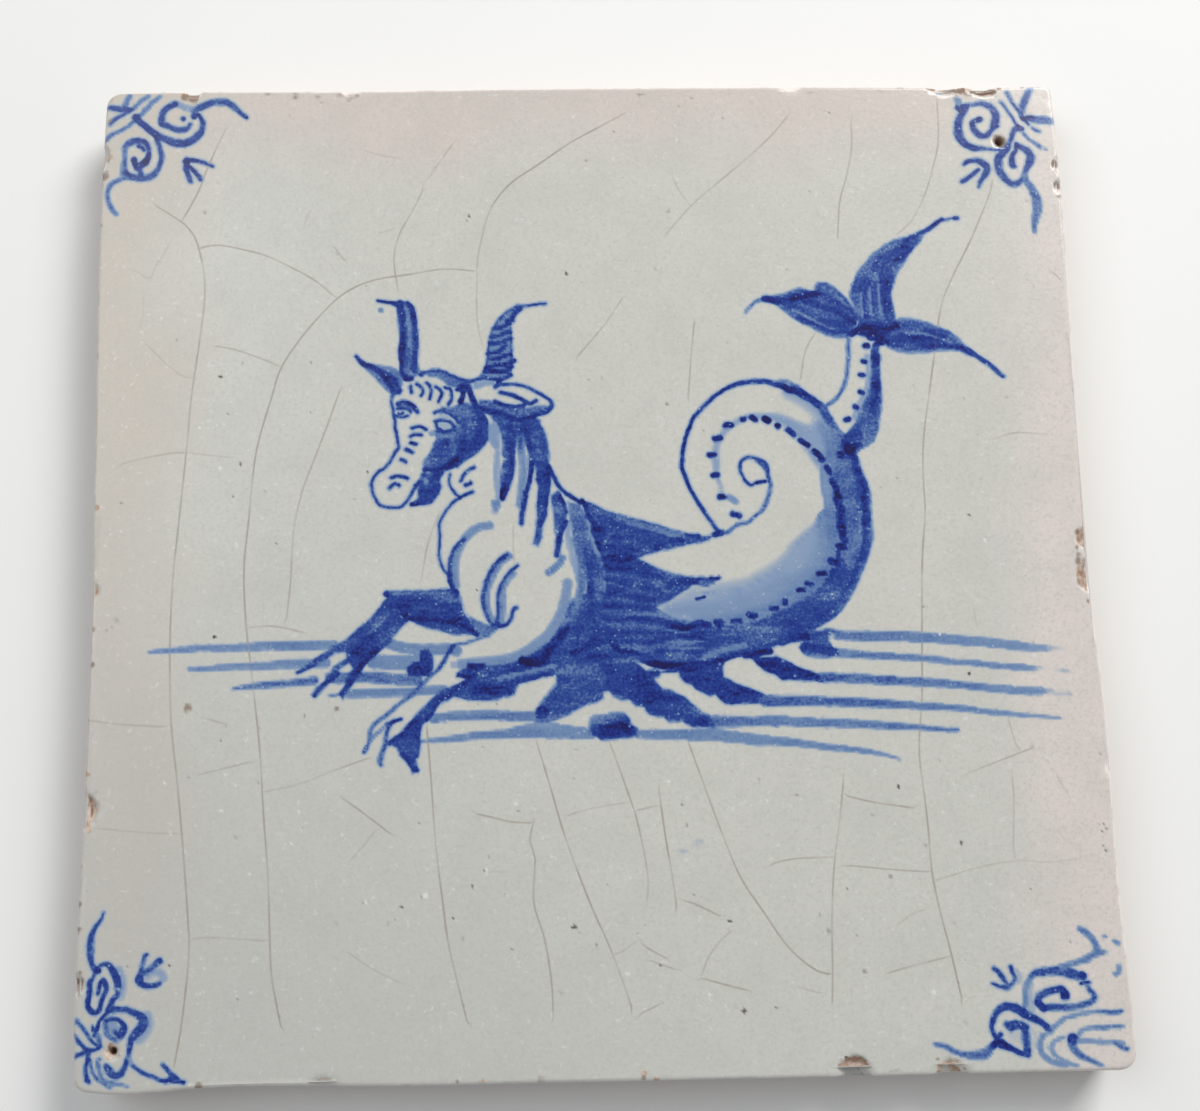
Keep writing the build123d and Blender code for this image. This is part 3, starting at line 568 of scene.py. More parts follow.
# Tail, its coil and its dots
coil = (
    area(0.2, (12.6, -4.2), (14, -4.4), (16.3, -3.7), (18.2, -3.4), (19.8, -3), (21.4, -2.15),
         (23, -1.2), (24.6, -0.2), (25.9, 0.75), (27.4, 2), (29.5, 2), (29, -5), (24, -9.4),
         (15.2, -10.4), (12, -9.6), (10.2, -8.8), (9.1, -8.2), (7.8, -6.95), (10.2, -5.7),
         edge=1.0),
    line(0.32, (1.2, 1.8, 2, 2, 2, 2), (9.5, -7.4), (13, -7.3), (16, -7.2), (19.5, -6.3),
         (23, -4.7), (26.4, -2.4), edge=1.0),
    line(0.44, (1, 1.4, 1.8, 1.8, 1.8), (13, -8.9), (16.5, -8.9), (20, -8.2), (23.8, -6.6),
         (27, -4.6), edge=0.9),
    line(0.58, 1.2, (13.5, -9.9), (16.5, -10.3), (20, -9.8), (23.5, -8.8), (26.5, -7.2),
         (29, -5.4), (31, -2.6), edge=0.6),
    line(0.3, 0.3, (14, -5.2), (18, -4.9), (22, -3.2), (25, -1.2), edge=0.25),
    line(0.9, 0.25, (12.95, -5.9), (14.1, -5.65)),
    line(0.2, 1.6, (26, 21.3), (27.6, 20.5), (29, 19.3), (30.2, 18), edge=0.9),
    line(0.36, 0.7, (26, 21.9), (27.8, 21.2), (29.4, 20), (30.6, 18.6), edge=0.6),
    line(0.28, (0.8, 0.8, 0.8, 0.8, 0.8, 0.8, 1.2, 1.6, 2.0), (16.2, 11.5), (16.2, 14), (17.2, 16),
         (18.6, 17.3), (20.5, 18.2), (22.5, 18.3), (24.5, 18), (26.5, 17), (28.7, 15.4), edge=0.6),
    line(0.25, 0.6, (16.1, 13.5), (16.1, 12), (16.2, 10.5), (16.6, 9), (16.9, 8), edge=0.45),
    line(0.35, 0.8, (17.8, 7.4), (18.6, 6.9), edge=0.2),
    line(0.85, (0.45, 0.45, 0.45, 0.45, 0.45, 0.45, 0.45, 0.45, 0.45, 0.45, 0.45, 0.45, 0.45,
                0.45, 0.45, 0.45, 0.45, 0.45, 0.45, 0.45, 0.5, 0.55, 0.55, 0.6, 0.65, 0.75, 0.9,
                0.95, 1.0, 1.0, 1.0, 1.0), (16.3, 2.8), (15.8, 3.3), (15.35, 4.1), (14.7, 5.05),
         (14.05, 6.2), (13.4, 7.3), (12.8, 8.3), (12.4, 9.2), (12.05, 10.35), (11.75, 11.65),
         (11.8, 13.05), (12.05, 14.5), (12.4, 15.9), (12.85, 17.05), (13.4, 18.2), (14.05, 19),
         (14.85, 19.8), (15.8, 20.75), (16.6, 21.4), (17.6, 22), (18.7, 22.5), (20, 22.9),
         (21.1, 23.05), (22.2, 23.1), (23.35, 23.1), (24.3, 22.8), (25.3, 22.5), (26.2, 22),
         (27.2, 21.8), (28.5, 20.95), (29.7, 20.1), (30.7, 19.4)),
    line(0.62, 1.1, (30.7, 19.4), (31, 18.3), (31.55, 17.25), (32.15, 16.2), (32.8, 15.4)),
    line(0.55, 0.35, (25.3, 23.1), (26.3, 22.9), (27.5, 22.2)),
    line(0.92, 0.7, (15.65, 2.5), (16.6, 2.75)),
    area(0.5, (23, 11.3), (22.95, 10), (22.7, 11), (22.05, 11.8), (21.4, 12.3), (21.75, 12.5),
         (22.6, 12.05)),
    line(0.6, 0.4, (16.6, 2.75), (17.4, 2.75), (18.2, 3.4), (19, 3.8), (20, 4), (20.8, 4.6),
         (21.4, 5.2), (22.05, 5.8), (22.5, 6.5), (22.9, 7.5), (23.15, 8.3), (23.2, 9.1),
         (23.1, 9.7), (22.95, 10)),
    line(0.75, 0.35, (22.95, 10), (23, 11.3), (22.6, 12.05), (21.75, 12.5), (20.6, 12.75),
         (19.8, 12.45), (19.4, 11.9), (19.35, 11.1), (19.65, 10.2), (20.05, 9.5), (20.6, 9.05),
         (21.4, 9.3)),
    line(0.85, 0.4, (21.4, 9.3), (22.55, 9.5)),
    line(0.6, 0.3, (22.95, 10), (22.7, 11), (22.05, 11.8), (21.4, 12.3)),
)
tail = (
    area(0.55, (37.2, 14.7), (36.25, 14.05), (35.3, 13.5), (34.65, 13), (34.35, 12.45),
         (34.65, 11.65), (35.05, 10.85), (35.45, 9.7), (35.8, 8.6), (36.1, 7.5), (36.2, 6.5),
         (36.1, 5.1), (36.2, 3.8), (36.2, 2.35), (36.1, 1.2), (35.7, -0.1), (35.3, -1.35),
         (34.75, -2.6), (34.2, -3.75), (33.7, -4.7), (33.05, -5.85), (32.4, -6.95), (31.6, -7.95),
         (30.6, -8.85), (29.4, -9.45), (28.4, -10), (24.5, -11.6), (22, -8.3), (25, -7.2),
         (27, -4), (26, 0.9), (26.8, 1.7), (27.75, 2.5), (28.55, 3.15), (29.2, 3.8), (29.1, 4.25),
         (29.35, 5.05), (30, 5.55), (30.3, 6.7), (30, 7.8), (29.85, 8.9), (29.9, 10.2),
         (29.85, 11.3), (27.3, 15), (28.7, 16.2), (30.3, 17), (32.8, 15.6), (34, 15.6), edge=0.15),
    area(0.24, (25.4, 1), (27.4, 2.8), (28.9, 3.9), (29.6, 3), (29.8, 1), (29.2, -1.5),
         (28, -3.4), (26, -5), (24, -2), edge=1.0),
    line(0.36, 1.6, (25.6, -4.2), (27.8, -2.6), (29.2, -0.6), (29.9, 1.6), (30, 3.6), edge=1.0),
    line(0.46, 1.6, (26.6, -5.6), (29, -3.9), (30.7, -1.4), (31.3, 1.4), (31.2, 3.8), edge=0.9),
    area(0.33, (29.9, 11), (31, 10.4), (31.3, 8.6), (31.4, 6.4), (30.4, 6), (30, 7.8),
         (29.85, 8.9), edge=0.6),
    area(0.26, (26.8, 15.2), (28, 16.8), (29.8, 17.6), (30.5, 15.8), (30.9, 13.4), (30.2, 11.2),
         (29.5, 11.2), edge=0.9),
    line(0.42, 1.0, (30.4, 17), (31.3, 15.2), (31.7, 13), (31.4, 11.4), edge=0.8),
    line(0.65, 0.6, (34.6, 12.4), (35, 11), (35.5, 9.6), (35.9, 8), (35.9, 6), (36, 4), (36, 2),
         (35.6, 0.3), (34.9, -1.6), (33.9, -3.8), (32.8, -5.7), (31.4, -7.6), (29.6, -9),
         (28, -9.9)),
    line(0.85, (0.9, 0.9, 0.9, 0.9, 0.9, 0.9, 0.9, 0.9, 0.8, 0.7, 0.6, 0.55, 0.5, 0.5, 0.45, 0.45,
                0.45, 0.45, 0.45, 0.45, 0.45, 0.45), (34.3, 12.9), (34.5, 11.5), (34.8, 10.5),
         (35.1, 9.5), (35.4, 8.3), (35.4, 7), (35.4, 5.5), (35.4, 4), (35.5, 2.5), (35.3, 1.2),
         (35, 0.2), (34.6, -0.9), (34.1, -2), (33.6, -3.1), (33.2, -4.1), (32.5, -5.1),
         (31.8, -6.1), (30.9, -7.1), (30, -7.7), (29, -8.6), (28, -9.3), (27.3, -9.8)),
    area(0.95, (32.9, 15), (35.6, 15), (35.4, 14.2), (34.4, 13.3), (34, 12.8), (33.2, 13),
         (33, 14)),
    dot(0.88, 0.45, 32.6, 12.9),
    line(0.85, 0.7, (32.3, 2.3), (32.7, 1.3)),
    line(0.85, 0.6, (31.7, 0), (31.7, -1)),
    line(0.87, 0.8, (30.9, -2.8), (30.8, -3.6), (30.2, -4.2), (29.7, -5.1), (29.2, -5.9),
         edge=0.2),
)
stem = (
    line(0.6, 0.4, (34.6, 28.75), (34.4, 27.9), (34.45, 26.5), (34.3, 25.25), (34, 23.8),
         (33.6, 22.4), (32.8, 20.95), (31.95, 20.1), (30.7, 19.5)),
    line(0.25, 0.6, (36.9, 26.4), (36.9, 24.4), (36.7, 22.4), (36.2, 21.1), (35.5, 19.8),
         (34.6, 17.9), edge=0.25),
    area(0.62, (38.5, 27.7), (38.7, 25.9), (38.5, 25.05), (38.6, 22.8), (38.6, 20.3),
         (38.3, 18.3), (37.9, 16.2), (37.2, 14.7), (34, 14.6), (33.2, 15.6), (33.8, 16),
         (35, 17.65), (35.85, 19.7), (36.65, 21.15), (37.1, 22.4), (37.3, 24.4), (37.3, 26.5)),
    line(0.82, 0.9, (38.3, 27.9), (37.9, 26.9), (38, 25.7), (38, 24.4), (37.9, 22.8),
         (37.8, 21.4), (37.5, 19.9), (37.1, 18.9), edge=0.15),
    area(0.9, (33, 15.5), (34, 16), (35.3, 16.6), (35.8, 15.6), (35.6, 15), (33.2, 15)),
)
upper_fin = (
    area(0.6, (50.6, 45.5), (50, 45.85), (48.15, 45.65), (47.3, 45.15), (46.3, 44.45),
         (45.1, 43.8), (43.85, 43.2), (42.8, 43.1), (41.8, 42.8), (40.75, 42.3), (39.75, 41.65),
         (38.7, 41.05), (37.9, 40.1), (37.1, 39.2), (36.25, 38.2), (35.75, 37.15), (35.35, 36.15),
         (35.05, 35.1), (35.1, 34.3), (35.55, 33.5), (35.8, 31.5), (36, 30.8), (41.1, 30.8),
         (40.95, 31.8), (40.8, 33.05), (40.65, 34.3), (40.65, 35.3), (41.1, 36.55), (41.6, 37.8),
         (42.2, 38.8), (43.05, 39.8), (43.65, 40.85), (44.25, 41.65), (45.1, 42.4), (45.5, 43.3),
         (46.7, 44.1), (48.15, 45.1), (49.4, 45.45)),
    line(0.85, 0.45, (48.15, 45.55), (47.3, 44.95), (46.1, 44.1), (45.1, 43.6), (43.85, 43)),
    line(0.85, 0.45, (49.9, 45.65), (50.3, 45.65)),
    line(0.8, 0.5, (43.8, 43.1), (42.8, 42.1), (42, 41.5), (41, 41), (40, 40.5), (39.2, 39.9),
         (38.6, 39.1), (38, 38.2), (37.4, 37.5), (36.9, 36.6), (36.5, 35.6)),
    line(0.75, 1.0, (43.3, 41.2), (42.2, 40.3), (41.4, 39.5), (40.7, 38.6), (40.3, 37.5),
         (40, 36.3), (40, 35), (40.2, 33.5), (40.4, 32.2), (40.6, 31), edge=0.2),
    line(0.9, 0.5, (41.5, 39.8), (42.5, 40.5)),
    line(0.72, 0.35, (39.6, 40), (38.9, 38.5), (38.4, 37), (38.2, 35.5), (38.2, 34), (38.2, 32.5),
         (38.4, 31.2)),
    line(0.7, 0.3, (36.2, 37.4), (35.7, 35.5)),
    line(0.7, 0.3, (37.5, 35), (37.3, 33), (37.2, 31.3)),
    line(0.9, 0.5, (43, 41.8), (41.9, 41.3), (41.2, 40.8)),
    line(0.42, 0.3, (41, 38.8), (41.3, 38.3)),
    line(0.42, 0.28, (36.7, 35.2), (36.4, 33.6), (36.6, 31.8)),
    line(0.4, 0.3, (38.7, 37.6), (37.8, 36), (37.7, 34.2), (37.8, 32.2)),
    line(0.4, 0.28, (40.2, 39.4), (39.3, 37.8), (39, 36), (39, 34), (39.2, 32)),
    line(0.84, 0.35, (41.6, 41.1), (40.4, 39.9), (39.6, 38.4), (39.3, 36.6)),
    line(0.84, 0.3, (38, 37), (37.2, 35.4), (36.9, 33.6), (37, 31.8)),
    line(0.82, 0.3, (39.4, 35.4), (39.6, 33.6), (39.8, 31.6)),
)
left_fin = (
    area(0.6, (20.6, 32.6), (21.1, 33.3), (21.75, 33.95), (22.55, 34.5), (23.5, 34.9), (26, 35.2),
         (27, 35.6), (28.25, 36), (29.3, 35.8), (30.4, 35.4), (30.4, 36.1), (30.8, 36.85),
         (31.95, 36.75), (33, 36.2), (33.9, 35.2), (34.6, 34.5), (35.2, 33.65), (35.75, 32.85),
         (35.7, 31), (35, 29.55), (34.6, 28.9), (33, 28.95), (31.55, 29.35), (30.1, 30.1),
         (28.65, 30.9), (27.2, 31.8), (26, 32.85), (25.4, 33.4), (24.5, 33.95), (23.5, 34.3),
         (22.4, 34), (21.3, 33.1), (20.8, 32.5)),
    line(0.9, 0.9, (23.6, 34.6), (25, 34.3), (26.5, 34.3), (27.5, 34.6), (29, 35), (30.4, 35.1),
         edge=0.15),
    line(0.87, 0.8, (29, 34.2), (30.5, 33.7), (31.8, 33.2), (33.2, 32.7), (34.5, 31.8),
         (35.3, 31), edge=0.2),
    line(0.72, 1.0, (26.5, 33.8), (28.5, 32.7), (30.5, 31.5), (32.5, 30.9), (34.5, 30.7),
         edge=0.2),
    line(0.8, 0.5, (30.9, 35.3), (32.5, 34.3), (34, 33.4), (35.2, 32.6), (35.7, 31.5)),
    line(0.42, 0.3, (27.2, 33), (29.2, 31.9), (31.4, 30.6), (33.4, 29.9)),
    line(0.44, 0.3, (31.6, 36), (33, 35), (34.4, 33.6)),
    line(0.82, 0.35, (28, 32), (30.2, 30.8), (32.6, 29.9), (34.4, 29.8)),
)
right_fin = (
    area(0.58, (41.1, 31.4), (41.8, 31.6), (43, 31.5), (44.05, 31.3), (45.5, 30.9), (46.9, 30.3),
         (48.15, 29.65), (49.2, 28.85), (49.8, 28.05), (50.6, 27.3), (51.85, 26.4), (53.3, 25.25),
         (54.5, 24.2), (55.1, 23.3), (54.8, 23.1), (53.7, 24.1), (52.45, 25.15), (51.2, 26.1),
         (50.4, 26.2), (49.4, 26.8), (48.15, 27), (46.5, 26.95), (44.45, 26.7), (42.4, 26.7),
         (41.2, 26.9), (40.15, 27.3), (39.35, 27.8), (39, 28.6), (40.5, 30.2)),
    line(0.92, 0.7, (39, 28.5), (40, 28.2), (40.7, 27.9)),
    line(0.72, 1.4, (40.8, 28.5), (42.5, 28.4), (44.2, 28), (45.5, 27.7), edge=0.25),
    line(0.92, 0.5, (44.2, 27.6), (45.5, 27.6), (46.8, 27.7), (48, 27.5), (49.3, 27.4),
         (50.2, 26.9), (51, 26.4)),
    line(0.78, 0.5, (45, 29.8), (46.5, 29.1), (47.5, 28.5), (49, 27.9)),
    line(0.7, 0.35, (41.2, 30.4), (43, 30.6), (44.5, 30.4)),
    line(0.75, 0.5, (50.5, 27.1), (52, 25.8), (53.5, 24.7), (55, 23.3)),
    line(0.42, 0.28, (42.2, 29.6), (44.4, 29.4), (46.4, 28.8), (48.2, 28.1)),
    line(0.82, 0.35, (41.4, 29.2), (43.4, 29), (45.4, 28.7), (47.2, 28.2)),
    line(0.8, 0.3, (41, 27.6), (43, 27.3), (45, 27.2)),
)
fin_root = (
    area(0.8, (35, 29.7), (36, 30.9), (38, 31), (41, 31), (40, 29), (39.1, 28.1), (37.2, 28.8)),
    line(0.95, 0.9, (35, 29.5), (36, 30), (37, 30.4), (38.5, 30), (40, 30.2), (41, 30.6)),
    line(0.95, 1.2, (37.5, 29.2), (38.8, 28.9), (39, 28.4)),
)
spine_dots = (
    spine_dot(0.95, 0.95, (36.85, 27.8), (36.95, 27.8)),
    spine_dot(0.95, 0.7, (36.1, 25.7), (36.8, 25.6)),
    spine_dot(0.95, 0.65, (35.6, 23.8), (36.5, 23.65)),
    spine_dot(0.95, 0.7, (35.5, 21.5), (36.3, 21.3)),
    spine_dot(0.95, 0.75, (34.7, 19.5), (35.3, 19.1)),
    spine_dot(0.95, 0.7, (33.3, 17.6), (34.2, 17.8)),
    spine_dot(0.95, 0.75, (15.1, 13.2), (16.2, 13.2)),
    spine_dot(0.95, 0.85, (15.5, 10.4), (16.5, 10.5)),
    spine_dot(0.95, 0.85, (16.3, 7.5), (17.3, 7.5)),
    spine_dot(0.95, 0.85, (17.9, 5.25), (19.2, 4.9)),
    spine_dot(0.95, 0.85, (15.9, 15.4), (17.1, 15.45)),
    spine_dot(0.95, 0.8, (17.4, 17.2), (18.6, 17.2)),
    spine_dot(0.95, 0.8, (19.7, 17.9), (20.2, 18)),
    spine_dot(0.95, 0.85, (20.9, 18.4), (21.7, 17.7)),
    spine_dot(0.95, 0.9, (22.6, 18.1), (23.5, 17.6)),
    spine_dot(0.95, 0.8, (24.3, 17.1), (24.8, 16.8)),
    spine_dot(0.95, 0.85, (25.8, 16.5), (26.7, 15.6)),
    spine_dot(0.95, 0.7, (27.2, 15.1), (28.6, 14.1)),
    line(0.95, 0.7, (29.2, 13.4), (29.8, 12.9), (30.2, 12.2)),
    spine_dot(0.95, 0.7, (30.7, 11.5), (31.2, 10.3)),
    line(0.95, 0.7, (31.4, 9.3), (31.9, 8.2), (31.9, 7.9)),
    line(0.95, 0.85, (32.1, 7.2), (32, 6.4), (32.4, 5.4)),
    line(0.95, 0.9, (32.2, 4.8), (32.2, 3.6), (32.4, 2.5)),
    spine_dot(0.95, 1.0, (31.7, 0.7), (32.6, 0.5)),
    spine_dot(0.98, 1.0, (30.4, -1.2), (31.5, -1.5)),
    spine_dot(0.95, 0.6, (28.7, -2.9), (30, -2.9)),
    spine_dot(0.95, 0.5, (27, -4.1), (28.3, -4.2)),
    spine_dot(0.95, 0.6, (26, -5), (27.1, -5.05)),
    spine_dot(0.95, 0.8, (24.3, -6.3), (24.6, -6.8)),
    spine_dot(0.95, 0.6, (22.5, -7.5), (23.6, -7.4)),
    spine_dot(0.95, 0.8, (19.5, -8.05), (20.8, -8.35)),
    spine_dot(0.95, 0.6, (17.3, -8.95), (18.8, -8.9)),
    spine_dot(0.95, 0.7, (15.2, -9), (16.5, -9)),
    dot(0.95, 0.3, 15.9, -9.6),
)

# Corner ornaments
top_left_corner = (
    line(0.42, (0.5, 0.55, 0.7, 0.7), (-61.9, 64.9), (-62.2, 64.3), (-62.5, 63.5), (-62.5, 63)),
    line(0.68, (0.6, 0.8, 0.8, 0.75, 0.6), (-64.5, 63.1), (-63.5, 62.95), (-62.5, 62.85),
         (-61.9, 62.75), (-61.5, 62.9)),
    line(0.6, (0.4, 0.5, 0.5, 0.5), (-64.4, 60.7), (-63.5, 61.6), (-62.5, 62.2), (-61.8, 62.6)),
    line(0.42, (0.5, 0.5, 0.45, 0.4), (-61.2, 63.1), (-60.5, 63.9), (-60, 64.3), (-59.3, 64.7)),
    dot(0.85, 0.25, -61.6, 62.8),
    line(0.5, (0.4, 0.5, 0.45, 0.4, 0.4, 0.4, 0.4), (-64.9, 58.3), (-64.5, 58.8), (-64, 59.3),
         (-63, 59.8), (-62.2, 60.2), (-61.4, 60.8), (-61.1, 61.2)),
    line(0.42, (0.5, 0.5, 0.5, 0.45, 0.35), (-60.4, 61.9), (-59.6, 62.8), (-58.8, 63.8),
         (-58.2, 64.3), (-57.7, 64.7)),
    line(0.3, 0.5, (-62.6, 53.5), (-62.2, 57.5), (-61.6, 58.2)),
    line(0.62, (0.6, 0.6, 0.6, 0.6, 0.6, 0.6, 0.6, 0.75, 0.9, 0.95, 0.95, 0.9, 0.8, 0.7),
         (-58.1, 58.9), (-57.9, 58), (-57.6, 57.2), (-57.4, 56.4), (-57.35, 55.6), (-57.55, 54.8),
         (-57.9, 54), (-58.2, 53.5), (-58.8, 53.1), (-59.5, 52.9), (-60.3, 52.9), (-61.1, 53.05),
         (-61.8, 53.3), (-62.2, 53.9)),
    line(0.5, (0.65, 0.55, 0.5, 0.5, 0.7, 0.85), (-62.2, 53.9), (-62.2, 54.6), (-62.3, 55.6),
         (-62.35, 56.6), (-62.2, 57.5), (-61.7, 58)),
    line(0.66, (0.85, 0.8, 0.75, 0.7, 0.6, 0.55), (-61.7, 58), (-60.9, 58.25), (-60.1, 58.2),
         (-59.4, 57.8), (-59.1, 57.1), (-59.1, 56.3)),
    line(0.88, (0.55, 0.7, 0.95, 0.85), (-59.1, 56.3), (-59.2, 55.7), (-59.6, 55.1), (-60.1, 54.7)),
    line(0.75, 0.6, (-60.1, 54.7), (-60.2, 54.1), (-60, 53.5)),
    line(0.85, (0.8, 0.75, 0.55), (-61, 55.5), (-60.85, 54.9), (-60.6, 54.2)),
    line(0.85, 0.4, (-61.3, 58.45), (-60.5, 58.5)),
    line(0.88, 0.45, (-60.5, 57.55), (-60, 57.3), (-59.8, 56.95)),
    line(0.86, 0.4, (-59.9, 58.3), (-59.4, 57.8), (-59.2, 57.2)),
    line(0.85, 0.45, (-62.1, 53.8), (-61.6, 53.4)),
    line(0.52, (0.4, 0.5, 0.55, 0.6, 0.45, 0.45, 0.5, 0.5, 0.5, 0.4), (-61.8, 52.95),
         (-62.3, 52.9), (-63.2, 52.5), (-64, 51.9), (-64.35, 51.1), (-64.35, 50.2), (-64.2, 49.5),
         (-63.9, 48.8), (-63.5, 48.1), (-63.2, 47.8)),
    line(0.74, (0.95, 0.85, 0.9, 0.9, 0.9, 0.9, 0.95, 1.0, 1.0, 0.95, 0.9, 0.75, 0.65, 0.5, 0.4),
         (-60.9, 61.7), (-60.4, 61), (-59.6, 60.3), (-58.8, 59.6), (-58, 59), (-57, 58.5),
         (-56, 58.1), (-55, 57.85), (-54.2, 57.85), (-53.3, 58.2), (-52.6, 58.8), (-52.1, 59.6),
         (-51.9, 60.5), (-52.1, 61.3), (-52.5, 61.9)),
    dot(0.88, 0.4, -60.85, 61.65),
    line(0.85, 0.5, (-58.2, 58.8), (-58, 58.4)),
    line(0.9, 0.35, (-52.5, 61.9), (-53.1, 62.3)),
    dot(0.85, 0.38, -53.1, 61.75),
    dot(0.9, 0.28, -54.55, 61.45),
    line(0.18, 0.9, (-55.3, 63.5), (-54.3, 63), (-53.4, 62.8), edge=0.3),
    line(0.6, (0.75, 0.8, 0.85, 0.8, 0.75), (-55.65, 63.6), (-56.2, 63.4), (-56.9, 62.9),
         (-57.4, 62.2), (-57.5, 61.4)),
    line(0.78, (0.75, 0.9, 0.8, 0.7, 0.75, 0.8, 0.6, 0.45), (-57.5, 61.4), (-57.4, 60.7),
         (-56.8, 60.45), (-56, 60.1), (-55.2, 59.8), (-54.5, 59.8), (-53.9, 60.1), (-53.6, 60.6)),
    line(0.58, (0.6, 0.9, 0.95, 0.9, 0.95, 0.9, 0.8, 0.6, 0.45, 0.4), (-53.1, 62.4),
         (-52.5, 62.9), (-51.5, 63.4), (-50.5, 63.7), (-49.5, 63.75), (-48.8, 63.7),
         (-48, 63.2), (-47.2, 62.5), (-46.5, 61.9), (-46, 61.45)),
    line(0.8, 0.4, (-47, 62.25), (-46, 61.45)),
    line(0.7, (0.5, 0.5, 0.45, 0.35, 0.3), (-54, 55.5), (-53.2, 55.4), (-52.3, 55.2),
         (-51.3, 54.9), (-50.4, 54.4)),
    line(0.66, (0.6, 0.7, 0.6, 0.6), (-54, 54.9), (-54, 54.2), (-53.8, 53.4), (-53.4, 52.4)),
    line(0.72, (0.4, 0.5, 0.55, 0.6, 0.55), (-53.8, 54.7), (-53.2, 54.1), (-52.7, 53.5),
         (-52.1, 52.8), (-52, 52.6)),
    line(0.85, 0.55, (-54.15, 55.3), (-53.8, 55.1)),
)
